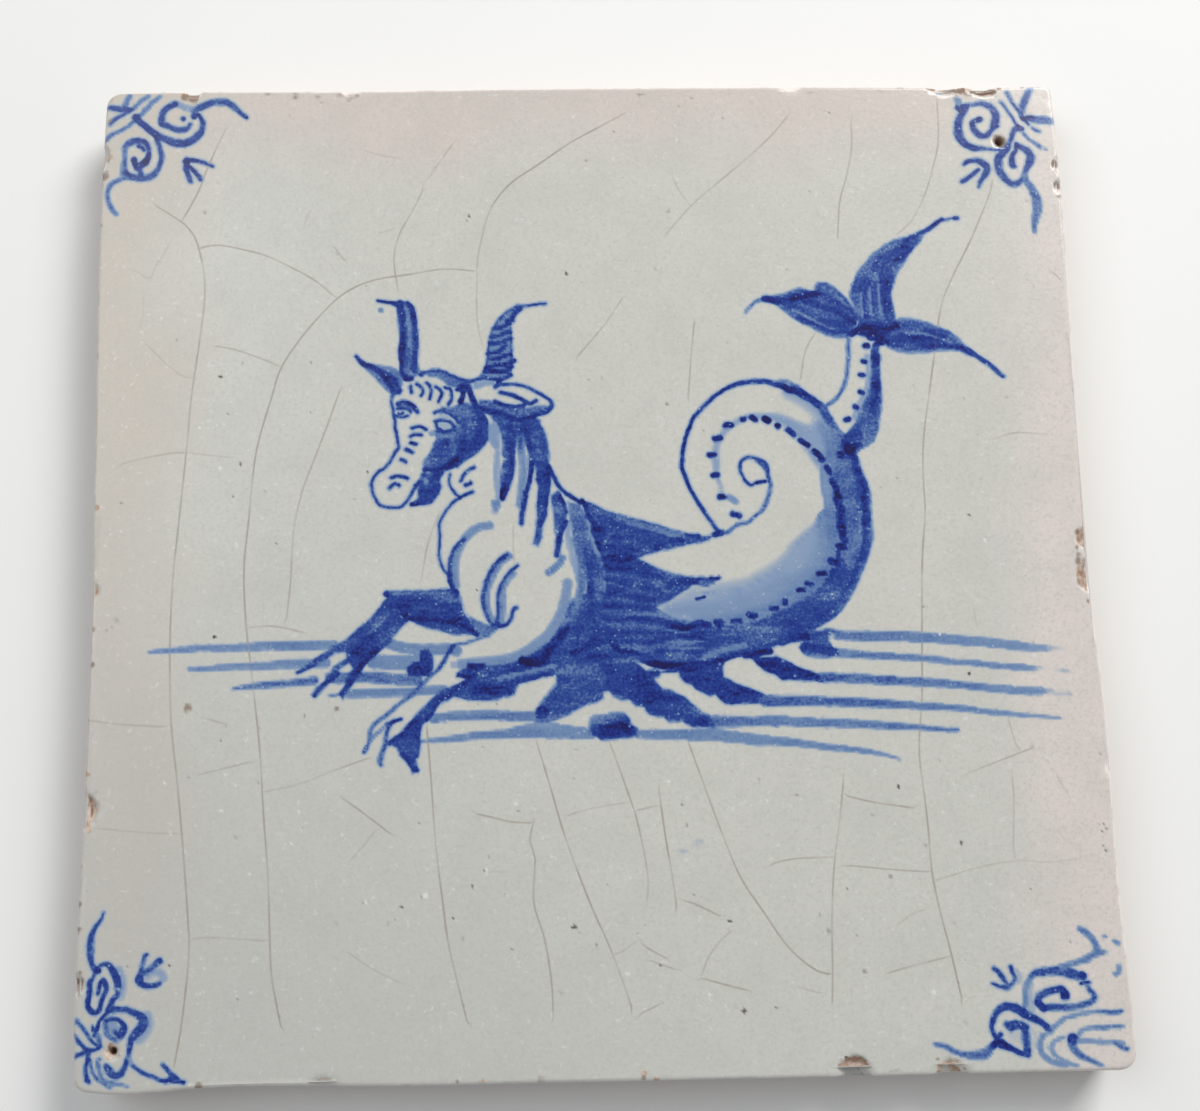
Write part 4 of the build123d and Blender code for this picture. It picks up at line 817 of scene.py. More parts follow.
top_right_corner = (
    line(0.64, (0.45, 0.4, 0.35, 0.35, 0.4, 0.5, 0.5, 0.35, 0.3), (58.4, 63.9), (58.7, 63.2),
         (59.1, 62.4), (59.6, 61.6), (60, 61), (60.2, 60.4), (60.5, 60.1), (60.8, 59.6),
         (61.1, 59.2)),
    line(0.6, (0.3, 0.35, 0.25), (61.6, 58.7), (62, 58.4), (62.5, 58.2)),
    line(0.6, (0.35, 0.4, 0.35, 0.35, 0.3, 0.4), (57.5, 62.6), (57.9, 62), (58.2, 61.4),
         (58.6, 60.7), (59, 59.9), (59.5, 59.1)),
    line(0.52, (0.35, 0.35, 0.4, 0.4), (60.3, 57.8), (61, 57), (61.8, 56.4), (62.4, 55.8)),
    line(0.25, 0.3, (63, 55.6), (63.3, 55.5)),
    line(0.58, (0.55, 0.7, 0.8, 0.8, 0.6, 0.5), (61.8, 64.6), (61.4, 63.9), (60.9, 62.9),
         (60.5, 62), (60.3, 61.2), (60.2, 60.6)),
    line(0.5, (0.5, 0.8, 0.95, 0.95, 0.95, 0.7), (60.6, 60.1), (61.2, 60.1), (62, 59.9),
         (63, 59.85), (63.9, 59.7), (64.3, 59.6)),
    line(0.78, 0.45, (60.9, 60.25), (61.6, 60.2)),
    dot(0.85, 0.3, 60.4, 60.1),
    area(0.35, (51, 63.3), (52, 63.1), (52.1, 62.2), (51.2, 62.1), edge=0.25),
    line(0.68, (0.6, 1.0, 1.0, 0.95, 0.9, 0.75, 0.6, 0.4), (56, 58.9), (56.4, 59.6), (56.6, 60.3),
         (56.5, 61), (56.1, 61.7), (55.4, 62.1), (54.6, 62.3), (53.8, 62.25)),
    line(0.66, 0.4, (53.8, 62.25), (53, 62.1)),
    line(0.72, (0.9, 0.9, 0.9, 0.9, 0.95, 1.1, 1.1, 1.0, 0.8, 0.8, 0.6, 0.4, 0.3, 0.25),
         (52.5, 61.8), (52.3, 61.4), (51.9, 60.9), (51.5, 60.1), (51.3, 59.2), (51.3, 58.3),
         (51.4, 57.5), (51.8, 56.8), (52.5, 56.2), (53.3, 55.85), (54.2, 55.75), (55, 55.7),
         (55.8, 55.6), (56.6, 55.5)),
    line(0.86, 0.6, (51.3, 61.8), (51.7, 61.4), (51.9, 60.9)),
    line(0.84, 0.5, (51.9, 61.9), (52.8, 62)),
    line(0.74, (0.65, 0.75, 0.85, 0.85, 0.7, 0.6, 0.5, 0.5), (53.3, 59.4), (53.4, 58.7),
         (53.8, 58), (54.3, 57.6), (54.9, 57.55), (55.4, 57.9), (55.9, 58.4), (56.6, 59)),
    line(0.86, (0.6, 0.55, 0.7), (53.3, 59.5), (53.6, 59.8), (54.3, 60)),
    dot(0.9, 0.36, 54.25, 60.05),
    line(0.72, (0.4, 0.85, 0.6, 0.5, 0.45, 0.5, 0.8, 0.9, 0.9, 0.95, 0.95, 0.9, 0.85, 0.75, 0.75,
                0.6, 0.6), (60.1, 58.5), (59.5, 58.6), (59, 58.2), (58.6, 57.6), (58.5, 57),
         (58.1, 56.3), (57.8, 55.6), (57.2, 55), (56.6, 54.4), (56.5, 53.5), (56.55, 52.6),
         (56.9, 51.8), (57.4, 51.1), (58, 50.6), (58.7, 50.55), (59.4, 50.9), (59.9, 51.6)),
    line(0.84, 0.6, (59.6, 58.75), (60, 58.5)),
    line(0.7, 0.4, (56.6, 55.5), (57.4, 55.7)),
    line(0.7, (0.6, 0.6, 0.7, 1.0, 1.05, 0.95, 0.85, 0.75, 0.6), (59.9, 51.6), (60.2, 52.5),
         (60.5, 53.1), (60.8, 53.6), (61, 54.2), (60.9, 54.8), (60.5, 55.4), (59.9, 55.8),
         (59.3, 56.1)),
    line(0.8, (0.5, 0.5, 0.55, 0.65, 0.85), (59.15, 56.3), (59, 55.5), (58.6, 54.8), (58.4, 54.1),
         (58.45, 53.3)),
    dot(0.88, 0.36, 58.55, 53.2),
    line(0.48, (0.7, 0.8, 0.85, 1.0, 1.15, 1.15, 1.15, 1.0, 0.8, 0.6, 0.45), (60, 51.7),
         (60.1, 51), (60.6, 50.2), (61, 49.5), (61.3, 48.6), (61.4, 47.6), (61.35, 46.8),
         (61.15, 46), (60.9, 45.2), (60.75, 44.5), (60.7, 43.7)),
    line(0.68, (0.35, 0.55, 0.6, 0.8, 0.9, 0.75, 0.85, 0.8, 0.55, 0.4, 0.3), (51.7, 53.5),
         (52.3, 53.9), (53.2, 54), (54, 53.8), (54.7, 53.3), (54.95, 52.9), (54.85, 52.5),
         (54.5, 51.9), (54, 51.2), (53.7, 50.5), (53.55, 50.1)),
    line(0.76, (0.6, 0.55, 0.5, 0.45, 0.4), (51.4, 51), (52, 51.4), (52.7, 51.9), (53.3, 52.4),
         (53.7, 52.7)),
)
bottom_left_corner = (
    line(0.7, (0.2, 0.3, 0.45, 0.5, 0.6, 0.75, 0.8, 0.7, 0.6, 0.6), (-61.6, -43.5),
         (-61.85, -44.3), (-62.3, -44.9), (-62.7, -45.5), (-63, -46.3), (-63.15, -47.2),
         (-63.15, -48.15), (-63.1, -48.9), (-62.85, -49.7), (-62.55, -50.15)),
    dot(0.93, 0.45, -62.2, -50.45),
    line(0.2, 1.1, (-59.6, -50.4), (-59.1, -52), (-59.2, -53.6), edge=0.4),
    line(0.82, (0.4, 0.3, 0.6, 0.6, 0.6, 0.6, 0.6, 0.55, 0.6, 0.5, 0.5, 0.6, 0.65, 0.6, 0.5, 0.45,
                0.4), (-62.4, -50.8), (-62.7, -51.4), (-63.1, -52), (-63, -52.8), (-63.1, -53.7),
         (-63.1, -54.6), (-62.7, -55.3), (-62.15, -55.45), (-61.7, -55.1), (-61.55, -54.3),
         (-61.3, -53.5), (-61, -52.8), (-61.1, -52.2), (-61.4, -51.7), (-61.7, -52),
         (-61.9, -52.6), (-62, -53.2)),
    line(0.78, (0.4, 0.45, 0.75, 0.8, 0.8, 0.7, 0.7, 0.5, 0.6, 0.7, 0.6), (-61.85, -49.85),
         (-61.2, -49.7), (-60.6, -50), (-60.15, -50.6), (-59.85, -51.2), (-59.6, -52),
         (-59.55, -52.8), (-59.6, -53.4), (-60.1, -54), (-60.4, -54.8), (-60.6, -55.2)),
    dot(0.0, 0.14, -59.5, -52.8),
    line(0.25, 1.6, (-60.4, -56.6), (-60, -57.6), (-59.6, -58.4), edge=0.3),
    line(0.2, 1.4, (-56, -56), (-55.9, -57.4), (-56.8, -58.6), edge=0.5),
    line(0.74, (0.7, 0.65, 0.55, 0.6, 0.9, 1.0, 1.3, 1.1, 1.0, 0.7, 0.5, 0.4, 0.5, 0.6, 0.7, 0.8,
                0.9, 0.6), (-60.6, -55.2), (-59.5, -55.15), (-58.6, -55.2), (-57.7, -55.5),
         (-56.9, -55.9), (-56.4, -56.4), (-56.5, -57.1), (-56.9, -57.7), (-57.5, -58.3),
         (-57.8, -58.9), (-57.9, -59.7), (-58, -60.5), (-58.15, -61.2), (-58.5, -62.15),
         (-59.1, -62.8), (-59.8, -62.8), (-60.3, -62.3), (-60.7, -61.8)),
    line(0.88, (0.3, 0.35, 0.35, 0.5), (-60.6, -55.4), (-61.2, -56), (-61.7, -56.6),
         (-62, -57.4)),
    line(0.88, 0.45, (-62, -57.4), (-62.2, -58.1)),
    line(0.85, 0.25, (-62.5, -57.1), (-62.5, -57.5)),
    line(0.55, (0.6, 0.5, 0.35), (-61.8, -58.2), (-61.6, -58.9), (-61.4, -59.5)),
    line(0.82, (0.45, 0.4, 0.35, 0.5, 0.7, 0.9, 0.7, 0.5, 0.35), (-60.9, -56.5), (-60.3, -56.3),
         (-59.7, -56.3), (-59.1, -56.5), (-58.7, -57.1), (-58.85, -57.7), (-59.15, -58.3),
         (-59.5, -58), (-59.85, -57.8)),
    line(0.6, (0.4, 0.5, 0.45, 0.5, 0.4), (-61, -56.8), (-60.9, -57.5), (-60.7, -58.1),
         (-60.3, -58.5), (-59.7, -58.7)),
    line(0.64, (0.45, 0.4, 0.4, 0.45, 0.4, 0.35), (-64.6, -56.3), (-64, -56.8), (-63.45, -57.5),
         (-62.9, -58.3), (-62.3, -59), (-61.5, -59.5)),
    line(0.72, (0.4, 0.45, 0.4, 0.5), (-64.7, -58.15), (-64.3, -58.6), (-63.7, -59.3),
         (-63, -59.9)),
    line(0.72, (0.45, 0.45, 0.5, 0.4, 0.3), (-64.6, -60.5), (-63.85, -60.3), (-63, -59.9),
         (-62.3, -59.85), (-61.7, -59.7)),
    line(0.74, (0.5, 0.35, 0.35, 0.4, 0.5), (-62.85, -60.15), (-63, -60.9), (-63.1, -61.8),
         (-63.1, -62.6), (-63, -63.3)),
    line(0.85, 0.4, (-63, -63.3), (-62.7, -63.5)),
    line(0.58, (0.3, 0.35, 0.35, 0.4, 0.35, 0.3, 0.25), (-62.7, -60.9), (-62.5, -61.8),
         (-62.2, -62.6), (-61.85, -63.2), (-61.4, -63.5), (-60.8, -63.85), (-60.15, -64.15)),
    line(0.52, (0.3, 0.3, 0.35, 0.35, 0.3, 0.3, 0.25, 0.2), (-61.4, -60.85), (-61.7, -61.1),
         (-61.6, -61.8), (-61.3, -62.8), (-60.8, -63.45), (-59.85, -63.7), (-58.9, -63.9),
         (-58, -64.15)),
    line(0.3, 0.5, (-57.95, -60.9), (-57.75, -61.5), (-57.4, -61.85)),
    line(0.62, (0.35, 0.45, 0.5, 0.45, 0.45, 0.5, 0.6, 0.2), (-57.4, -61.85), (-56.8, -62.3),
         (-55.85, -62.8), (-54.9, -63.15), (-54, -63.55), (-53.2, -63.6), (-52.5, -63.55),
         (-51.2, -63.85)),
    line(0.84, 0.35, (-54, -63.6), (-53, -63.65), (-52, -63.7), (-51.3, -63.85)),
    line(0.6, (0.55, 0.5, 0.7, 0.5), (-53.85, -61.8), (-53.2, -62.5), (-52.6, -63.1),
         (-52, -63.5)),
    line(0.2, 1.0, (-56, -51.2), (-54.6, -50.8), (-54, -51.6), edge=0.4),
    line(0.62, (0.8, 0.7, 0.55, 0.5, 0.45), (-57.1, -51.6), (-56.8, -50.8), (-56.7, -50),
         (-56.4, -48.9), (-56.15, -48.8)),
    line(0.68, (0.5, 0.6, 0.6, 0.7), (-56.5, -50.9), (-55.7, -50.4), (-55.1, -49.9),
         (-54.6, -49.5)),
    line(0.74, (0.7, 0.6, 0.55, 0.45), (-56.9, -52.1), (-56.15, -52.4), (-55.2, -52.4),
         (-54.5, -52.15)),
    dot(0.82, 0.5, -57, -51.6),
)
bottom_right_corner = (
    area(0.16, (48.6, -59.4), (51, -59), (54, -60.8), (53.6, -63), (51, -62.4), (49.5, -61.6),
         edge=0.5),
    line(0.58, (0.3, 0.4, 0.5, 0.5, 0.55, 0.75, 1.0, 1.1, 0.9, 0.8), (40.4, -61.8), (41, -61.95),
         (41.8, -62.2), (42.9, -62.85), (43.85, -63.1), (44.8, -63.25), (45.6, -63.25),
         (46.3, -63.2), (46.9, -62.85), (47.5, -62.3)),
    line(0.88, (0.8, 0.95, 1.1, 0.8, 0.6, 0.6, 0.6), (47.8, -62.1), (48.2, -61.85),
         (48.6, -62), (49.3, -62.35), (50, -62.7), (50.9, -63.15), (51.85, -63.4)),
    line(0.82, (0.6, 0.5, 0.45, 0.6, 0.7, 0.75), (48.15, -61.5), (47.8, -60.9), (47.6, -60.15),
         (47.8, -59.2), (48.15, -58.5), (48.8, -57.85)),
    line(0.84, (0.75, 0.9, 1.0, 1.0, 0.95, 0.8, 0.7, 0.8), (48.8, -57.85), (49.7, -57.6),
         (50.6, -57.8), (51.55, -58.3), (52.5, -58.9), (53.4, -59.4), (54.15, -59.9),
         (54.8, -60.5)),
    dot(0.85, 0.3, 48.6, -60.95),
    line(0.72, (0.8, 0.8, 0.9), (51.7, -60.7), (51.8, -62), (51.8, -62.9)),
    line(0.8, (0.5, 1.1, 1.0, 0.9), (49.4, -59.7), (50, -60), (50.9, -59.85), (51.8, -60.15)),
    line(0.36, (0.4, 0.5), (54.8, -60.8), (53.9, -61.2)),
    line(0.46, (0.5, 0.5, 0.6, 0.6, 0.5, 0.35), (53.9, -61.2), (53.5, -62.3), (53.7, -63.4),
         (54.5, -64.1), (55.5, -64.55), (56.6, -64.85)),
    line(0.4, (0.3, 0.4, 0.5, 0.5, 0.5, 0.45, 0.35), (56.5, -61.4), (55.4, -61.85), (54.9, -62.6),
         (55.2, -63.5), (55.85, -64.1), (56.9, -64.55), (57.9, -64.85)),
    line(0.6, (0.9, 0.8, 0.6, 0.45, 0.35, 0.35, 0.2), (57.4, -62.3), (57.85, -63.1),
         (58.6, -63.7), (59.4, -64.1), (60.15, -64.5), (60.6, -64.7), (61, -64.85)),
    dot(0.86, 0.68, 57.55, -61.7),
    line(0.46, (0.5, 0.4, 0.35, 0.4, 0.35, 0.35, 0.35, 0.25), (55.2, -60.3), (55.85, -59.85),
         (56.8, -59.2), (58, -58.9), (59.2, -58.7), (60.8, -58.55), (62.5, -58.6), (64, -58.5)),
    line(0.65, 0.3, (61, -58.55), (62.5, -58.6), (63.8, -58.5)),
    line(0.42, (0.4, 0.35, 0.35, 0.35, 0.4, 0.35), (58.3, -61.2), (58.9, -60.7), (60.15, -60.4),
         (61.7, -60.4), (62.9, -60.3), (64, -60.35)),
    line(0.62, 0.25, (60.5, -60.4), (62, -60.4), (63.6, -60.35)),
    line(0.4, (0.5, 0.4, 0.5, 0.5, 0.4), (58.3, -61.9), (59.7, -62), (61.2, -62.1), (62.6, -62.15),
         (63.9, -62.4)),
    line(0.66, (0.35, 0.35, 0.4), (62.8, -62.3), (63.4, -62.8), (64.2, -63.05)),
    line(0.22, 1.0, (52.7, -55), (52.6, -57), (52.8, -58), edge=0.4),
    line(0.5, (0.6, 0.55, 0.5, 0.5, 0.5), (51.85, -57.5), (52.1, -56.6), (52.15, -55.7),
         (52.4, -54.9), (52.9, -54.15)),
    line(0.7, (0.5, 0.75, 0.85, 0.9, 1.2, 1.2, 0.9), (52.9, -54.1), (53.5, -53.7), (54.6, -53.6),
         (55.85, -53.5), (56.9, -53.5), (58, -53.85), (58.8, -54.2)),
    dot(0.92, 0.48, 59.4, -54.2),
    line(0.5, (0.7, 0.6, 0.6, 0.7, 0.7, 0.7, 0.3), (56.8, -53.1), (57.85, -52.8), (58.9, -52.55),
         (60, -52.2), (60.9, -51.7), (61.85, -51.4), (62.45, -51.4)),
    line(0.54, (0.8, 0.7, 0.65, 0.65, 0.6), (61.4, -50.9), (61.2, -50.15), (60.8, -49.5),
         (60.15, -48.9), (59.55, -48.6)),
    line(0.72, (0.9, 0.8, 0.8, 0.75, 0.75, 0.75), (57, -56.3), (56.7, -55.75), (55.85, -55.8),
         (54.8, -56), (53.85, -56.5), (53.55, -57.2)),
    dot(0.9, 0.58, 57, -56.45),
    line(0.66, (0.8, 0.8, 0.65, 0.6, 0.65, 0.7, 0.65, 0.6, 0.5), (54.15, -57.85), (55.1, -57.8),
         (56.5, -57.9), (57.85, -57.9), (59.1, -57.7), (60.15, -57.4), (60.7, -56.8),
         (60.3, -56.15), (59.9, -55.5)),
    line(0.88, (0.75, 0.85), (53.6, -57.3), (54.2, -57.85)),
    line(0.9, 0.35, (59.2, -55.1), (59.6, -55), (60.1, -54.95)),
    line(0.45, 0.2, (62.3, -49.6), (62.7, -49.4)),
    line(0.5, 0.3, (63.7, -50.15), (64.2, -50.4)),
    line(0.5, 0.4, (64.1, -53.2), (64, -53.9), (63.5, -54.1)),
    line(0.22, 0.9, (51.2, -53.4), (51.4, -54.6), edge=0.4),
    line(0.76, (0.55, 0.5, 0.5, 0.4), (48.4, -53.1), (48.9, -53.4), (49.4, -54.15), (49.85, -54.9)),
    line(0.76, (0.45, 0.5, 0.35, 0.4, 0.6, 0.4, 0.35, 0.25), (50.45, -52.85), (50.6, -53.5),
         (50.85, -54.3), (50.45, -54.9), (49.9, -55.3), (49.2, -55.2), (48.6, -55),
         (48.1, -54.85)),
)
blue_smudges = (
    line(0.15, 0.8, (9.9, -38), (10.5, -37.8), edge=0.4),
    line(0.15, 0.9, (11.8, -36.9), (12.4, -36.7), edge=0.5),
    line(0.2, 0.5, (48.7, 64), (49.2, 63.9), edge=0.25),
)
painting = (
    left_sea + right_sea + coil + tail + tail_streaks + stem + back + body_streaks + collar + nape
    + belly + chest_edge + mane_root + chest + raised_leg
    + lower_leg + left_horn + left_ear + forehead + cheek + eyes + profile + jaw + right_horn
    + mane + right_ear + left_fin + right_fin + upper_fin + fin_root + spine_dots
    + retoned(0.08, top_left_corner) + retoned(0.05, top_right_corner)
    + retoned(0.03, bottom_left_corner) + retoned(-0.05, bottom_right_corner)
    + blue_smudges
)

# Cracks of the glaze: how dark each is, then its points
cracks = (
    (1.0, (-58.2, 49), (-57, 48.4), (-55.6, 47.3), (-54.5, 46.7), (-53, 45.1), (-52.1, 43.1),
     (-51.2, 39), (-51.1, 35), (-51.7, 29), (-52.5, 22), (-52.95, 15), (-53.8, 4), (-54.2, -1),
     (-54.4, -10), (-54, -20), (-53, -28), (-52.1, -36), (-51.3, -44.3), (-51.05, -49),
     (-51.7, -56.8), (-52.5, -62)),
    (1.0, (-48.7, 60), (-50, 57), (-51.2, 54), (-52.2, 51), (-53.5, 48.3), (-54.3, 46.9)),
    (0.9, (-52.1, 42.8), (-49.5, 43.2), (-46, 42.5), (-43, 41.6), (-40, 40.1), (-36.3, 37.9),
     (-33.8, 35.6)),
    (1.0, (-14.9, 39), (-19.2, 39.4), (-24, 38.7), (-28.1, 38.1), (-31, 37.1), (-33.6, 35.4),
     (-36.3, 32.5), (-38.3, 30), (-40.8, 26), (-42, 22), (-43.9, 14.5), (-44.75, 5), (-45.2, -1),
     (-44.8, -8), (-43.9, -15), (-42.8, -24), (-42.2, -32), (-41.5, -40.3), (-41, -50.6),
     (-40.35, -54.5), (-39.6, -58)),
    (0.7, (-61, 40), (-60, 39.6), (-58.4, 38.6), (-57.6, 40.6), (-56.6, 42), (-56, 43.5)),
    (0.4, (-59.1, 37), (-59.2, 33), (-59.3, 32)),
    (0.7, (-59, 30), (-57, 27.9), (-55, 26), (-53.5, 24.9), (-52.6, 24.7)),
    (0.7, (-50, 29.2), (-47, 28.6), (-43, 27.1), (-40.8, 26.1)),
    (0.7, (-61.5, 13.2), (-59, 13.9), (-54, 14.7), (-49.5, 14.2), (-47, 13.9)),
    (0.7, (-17.9, 57.5), (-19.5, 55.2), (-21.5, 52)),
    (0.9, (-22, 51), (-23.2, 48.3), (-25, 45), (-25.8, 42.6), (-26, 40.4), (-25.4, 36.2)),
    (1.0, (-14.9, 39), (-14.7, 41.5), (-13.5, 46.6), (-12.2, 49.2), (-10, 51.7), (-6.4, 54.2),
     (-2.2, 57.2), (1, 59), (5.5, 61.5)),
    (0.8, (-14.9, 39), (-15, 33.6), (-14.7, 30.4), (-14.1, 28.1)),
    (0.7, (-30.3, 56.6), (-28, 55.8), (-25.2, 55.3)),
    (0.4, (-37.2, 48), (-38, 46), (-38.1, 45.2)),
    (0.4, (-28.3, 44.5), (-26.3, 45.1)),
    (0.7, (-34, 42.8), (-33, 41.3), (-32.3, 40.6)),
    (0.7, (10.5, 43.8), (14, 47.8), (17.5, 50.9), (21.5, 54.3), (25.2, 57.7), (28, 61)),
    (0.4, (11.7, 52.9), (12.1, 51), (13.3, 49), (13.9, 48.3)),
    (0.4, (3.5, 40.5), (6, 39.9)),
    (0.8, (36.5, 60), (36.4, 56), (35.5, 52), (34.4, 48.4), (34, 45), (33.8, 43)),
    (0.8, (48.6, 63), (48.4, 57), (47.4, 53), (46, 49), (44, 45.4), (41.8, 43.3)),
    (1.0, (55.5, 51.2), (54.8, 48.8), (52, 42.7), (49.2, 37.5), (47.3, 33.2), (45.9, 26.2),
     (44.9, 21), (43.8, 15), (43.4, 9.7), (43.4, 5.4), (42.65, -1), (42.2, -7.4), (41.8, -14),
     (41.5, -19), (40.7, -26), (41.05, -32), (41.25, -36), (41.4, -41.2), (42.1, -45.9),
     (43.15, -51), (44.25, -57.2)),
    (0.7, (-42.3, -29.3), (-39, -28.7), (-36.5, -28), (-33.7, -26.9), (-28.9, -25.3)),
    (0.4, (-63, -33.3), (-56.7, -34), (-52.4, -34.2)),
    (0.5, (-51, -47), (-48.5, -46.9), (-45.7, -47.1), (-41.2, -47.5)),
    (0.9, (-32.8, -30), (-29.8, -32.15), (-26.1, -35.05)),
    (0.4, (-28, -34.1), (-29.7, -36.2), (-31.4, -38.1)),
    (1.0, (-21.8, -21.5), (-21.2, -29.3), (-20.9, -34.2), (-20.5, -38.3), (-20, -42.4),
     (-19.2, -48.35), (-17.8, -54.3), (-16.9, -58)),
    (0.9, (-16, -32.5), (-13.6, -33.1), (-11.3, -33.7), (-8.5, -33.9)),
    (0.9, (-8.45, -33.6), (-9, -36.3), (-8.35, -37.8), (-8.5, -40.8), (-8.55, -44),
     (-7.3, -48.15), (-6.55, -53.3), (-6.4, -58)),
    (0.4, (-14, -39.75), (-11.7, -39.85)),
    (0.4, (-32, -48.75), (-28.8, -51), (-24.7, -53.1)),
    (1.0, (-8, -23.5), (-6.4, -29.1), (-4.45, -36), (-1.6, -43.85), (0.7, -49.2), (2.4, -53.9),
     (3.45, -57.2)),
    (0.9, (1.3, -24), (3.05, -29.1), (4.6, -34.2), (5.7, -40.8), (5.4, -44.25)),
    (1.0, (7.35, -29.7), (8, -35.65), (8.9, -42), (9.2, -45.1)),
    (1.0, (11.3, -24.2), (13, -29.3), (14.85, -34.8), (17.2, -41), (20, -45.5), (23.05, -50),
     (26.2, -52.7), (28.2, -53.25)),
    (0.7, (-4.25, -33.1), (-1, -32.25), (3.35, -31.65)),
    (0.7, (4.05, -32.75), (7.25, -32.1)),
    (0.9, (10, -43.85), (11.55, -44.35), (14.6, -45.9)),
    (0.7, (16, -47.6), (14.4, -48.9), (12.9, -50.8), (12, -52.9)),
    (0.9, (11.75, -53.2), (14.3, -53.95), (18.1, -55)),
    (0.7, (1.1, -50.2), (2.1, -49.9), (4.15, -48.6)),
    (0.8, (4.6, -48.75), (5.1, -49.3), (7.9, -50.9)),
    (0.8, (5.3, -50.8), (7, -51.5), (9.2, -52.3)),
    (0.7, (3.95, -57.5), (5.2, -56.9), (7, -56.1)),
    (0.8, (30.9, -29.1), (30.1, -34.4), (29.1, -40.15), (28.5, -46.7), (28.25, -53.3), (28, -57)),
    (0.9, (31, -31.4), (34.4, -32.3), (39.55, -33.15)),
    (0.7, (20.9, -39.75), (23.95, -39.1), (29.2, -39)),
    (0.7, (30.3, -40), (36.9, -40.75), (41.2, -41.1)),
    (0.5, (41.6, -42.2), (47.55, -40.65), (52, -40), (56.4, -40.25), (60.1, -39.95)),
    (0.7, (36.5, -47.65), (38.5, -46.2), (40.4, -45.65)),
    (0.7, (35.1, -53.25), (38.1, -52.5), (43.1, -51.4)),
    (0.9, (24.15, -54.6), (25.1, -55), (26.6, -55.4)),
    (0.7, (46.4, -29.1), (49.1, -28.1), (55.25, -25.95)),
    (0.5, (52.4, -22), (53, -25), (53.65, -26.3)),
    (0.7, (52.3, -29.2), (52.4, -31.9), (51.9, -38.3), (51.95, -39.8)),
    (0.4, (57.8, -29), (59.6, -32.5)),
    (0.7, (52.95, 14.65), (56.1, 15.5), (59.9, 15.2)),
    (0.8, (62.6, 38), (63.1, 37.4), (63.8, 36.6)),
    (0.8, (-33, 23), (-34.7, 18), (-36.3, 13.6), (-37.9, 9.1), (-38.9, 4), (-39.2, -2.4),
     (-39.7, -7.9)),
    (0.7, (-20.1, 6.1), (-21.6, 1.9), (-22.5, -3.2)),
    (0.7, (-44.6, -8.5), (-42, -8.3), (-40, -8.6), (-37.3, -9.3)),
    (0.8, (4.5, 35), (2, 31.3), (-0.8, 28), (-1.9, 26.7)),
    (0.6, (-10.5, 4.3), (-10.55, 2), (-10.45, -0.8)),
    (0.8, (14.05, 31.8), (13.4, 26.7), (12.8, 20.6)),
    (0.7, (30.1, 29.6), (28.7, 27.3), (27.8, 23)),
    (0.6, (-64.8, -19.8), (-60, -20.5), (-54.5, -20.9)),
    (0.6, (-50.5, -19.7), (-46.8, -20.8)),
    (0.7, (-50.5, -27), (-46, -26), (-43.5, -25.4)),
    (0.5, (48.8, -8), (49.3, -10.5)),
)

# How the cracks are sorted into channels, so that two of one channel seldom lie close together
crack_channels = 7
crack_reach = 1.9  # how far to each side a crack is followed
crack_gap = 4.2  # least distance between two cracks of one channel
crack_spacing = 0.6  # between the points of a crack's path
crack_fade = 0.8  # how far before and past its end a crack fades
crack_limit = 3.0  # the most that a distance from a crack is given as

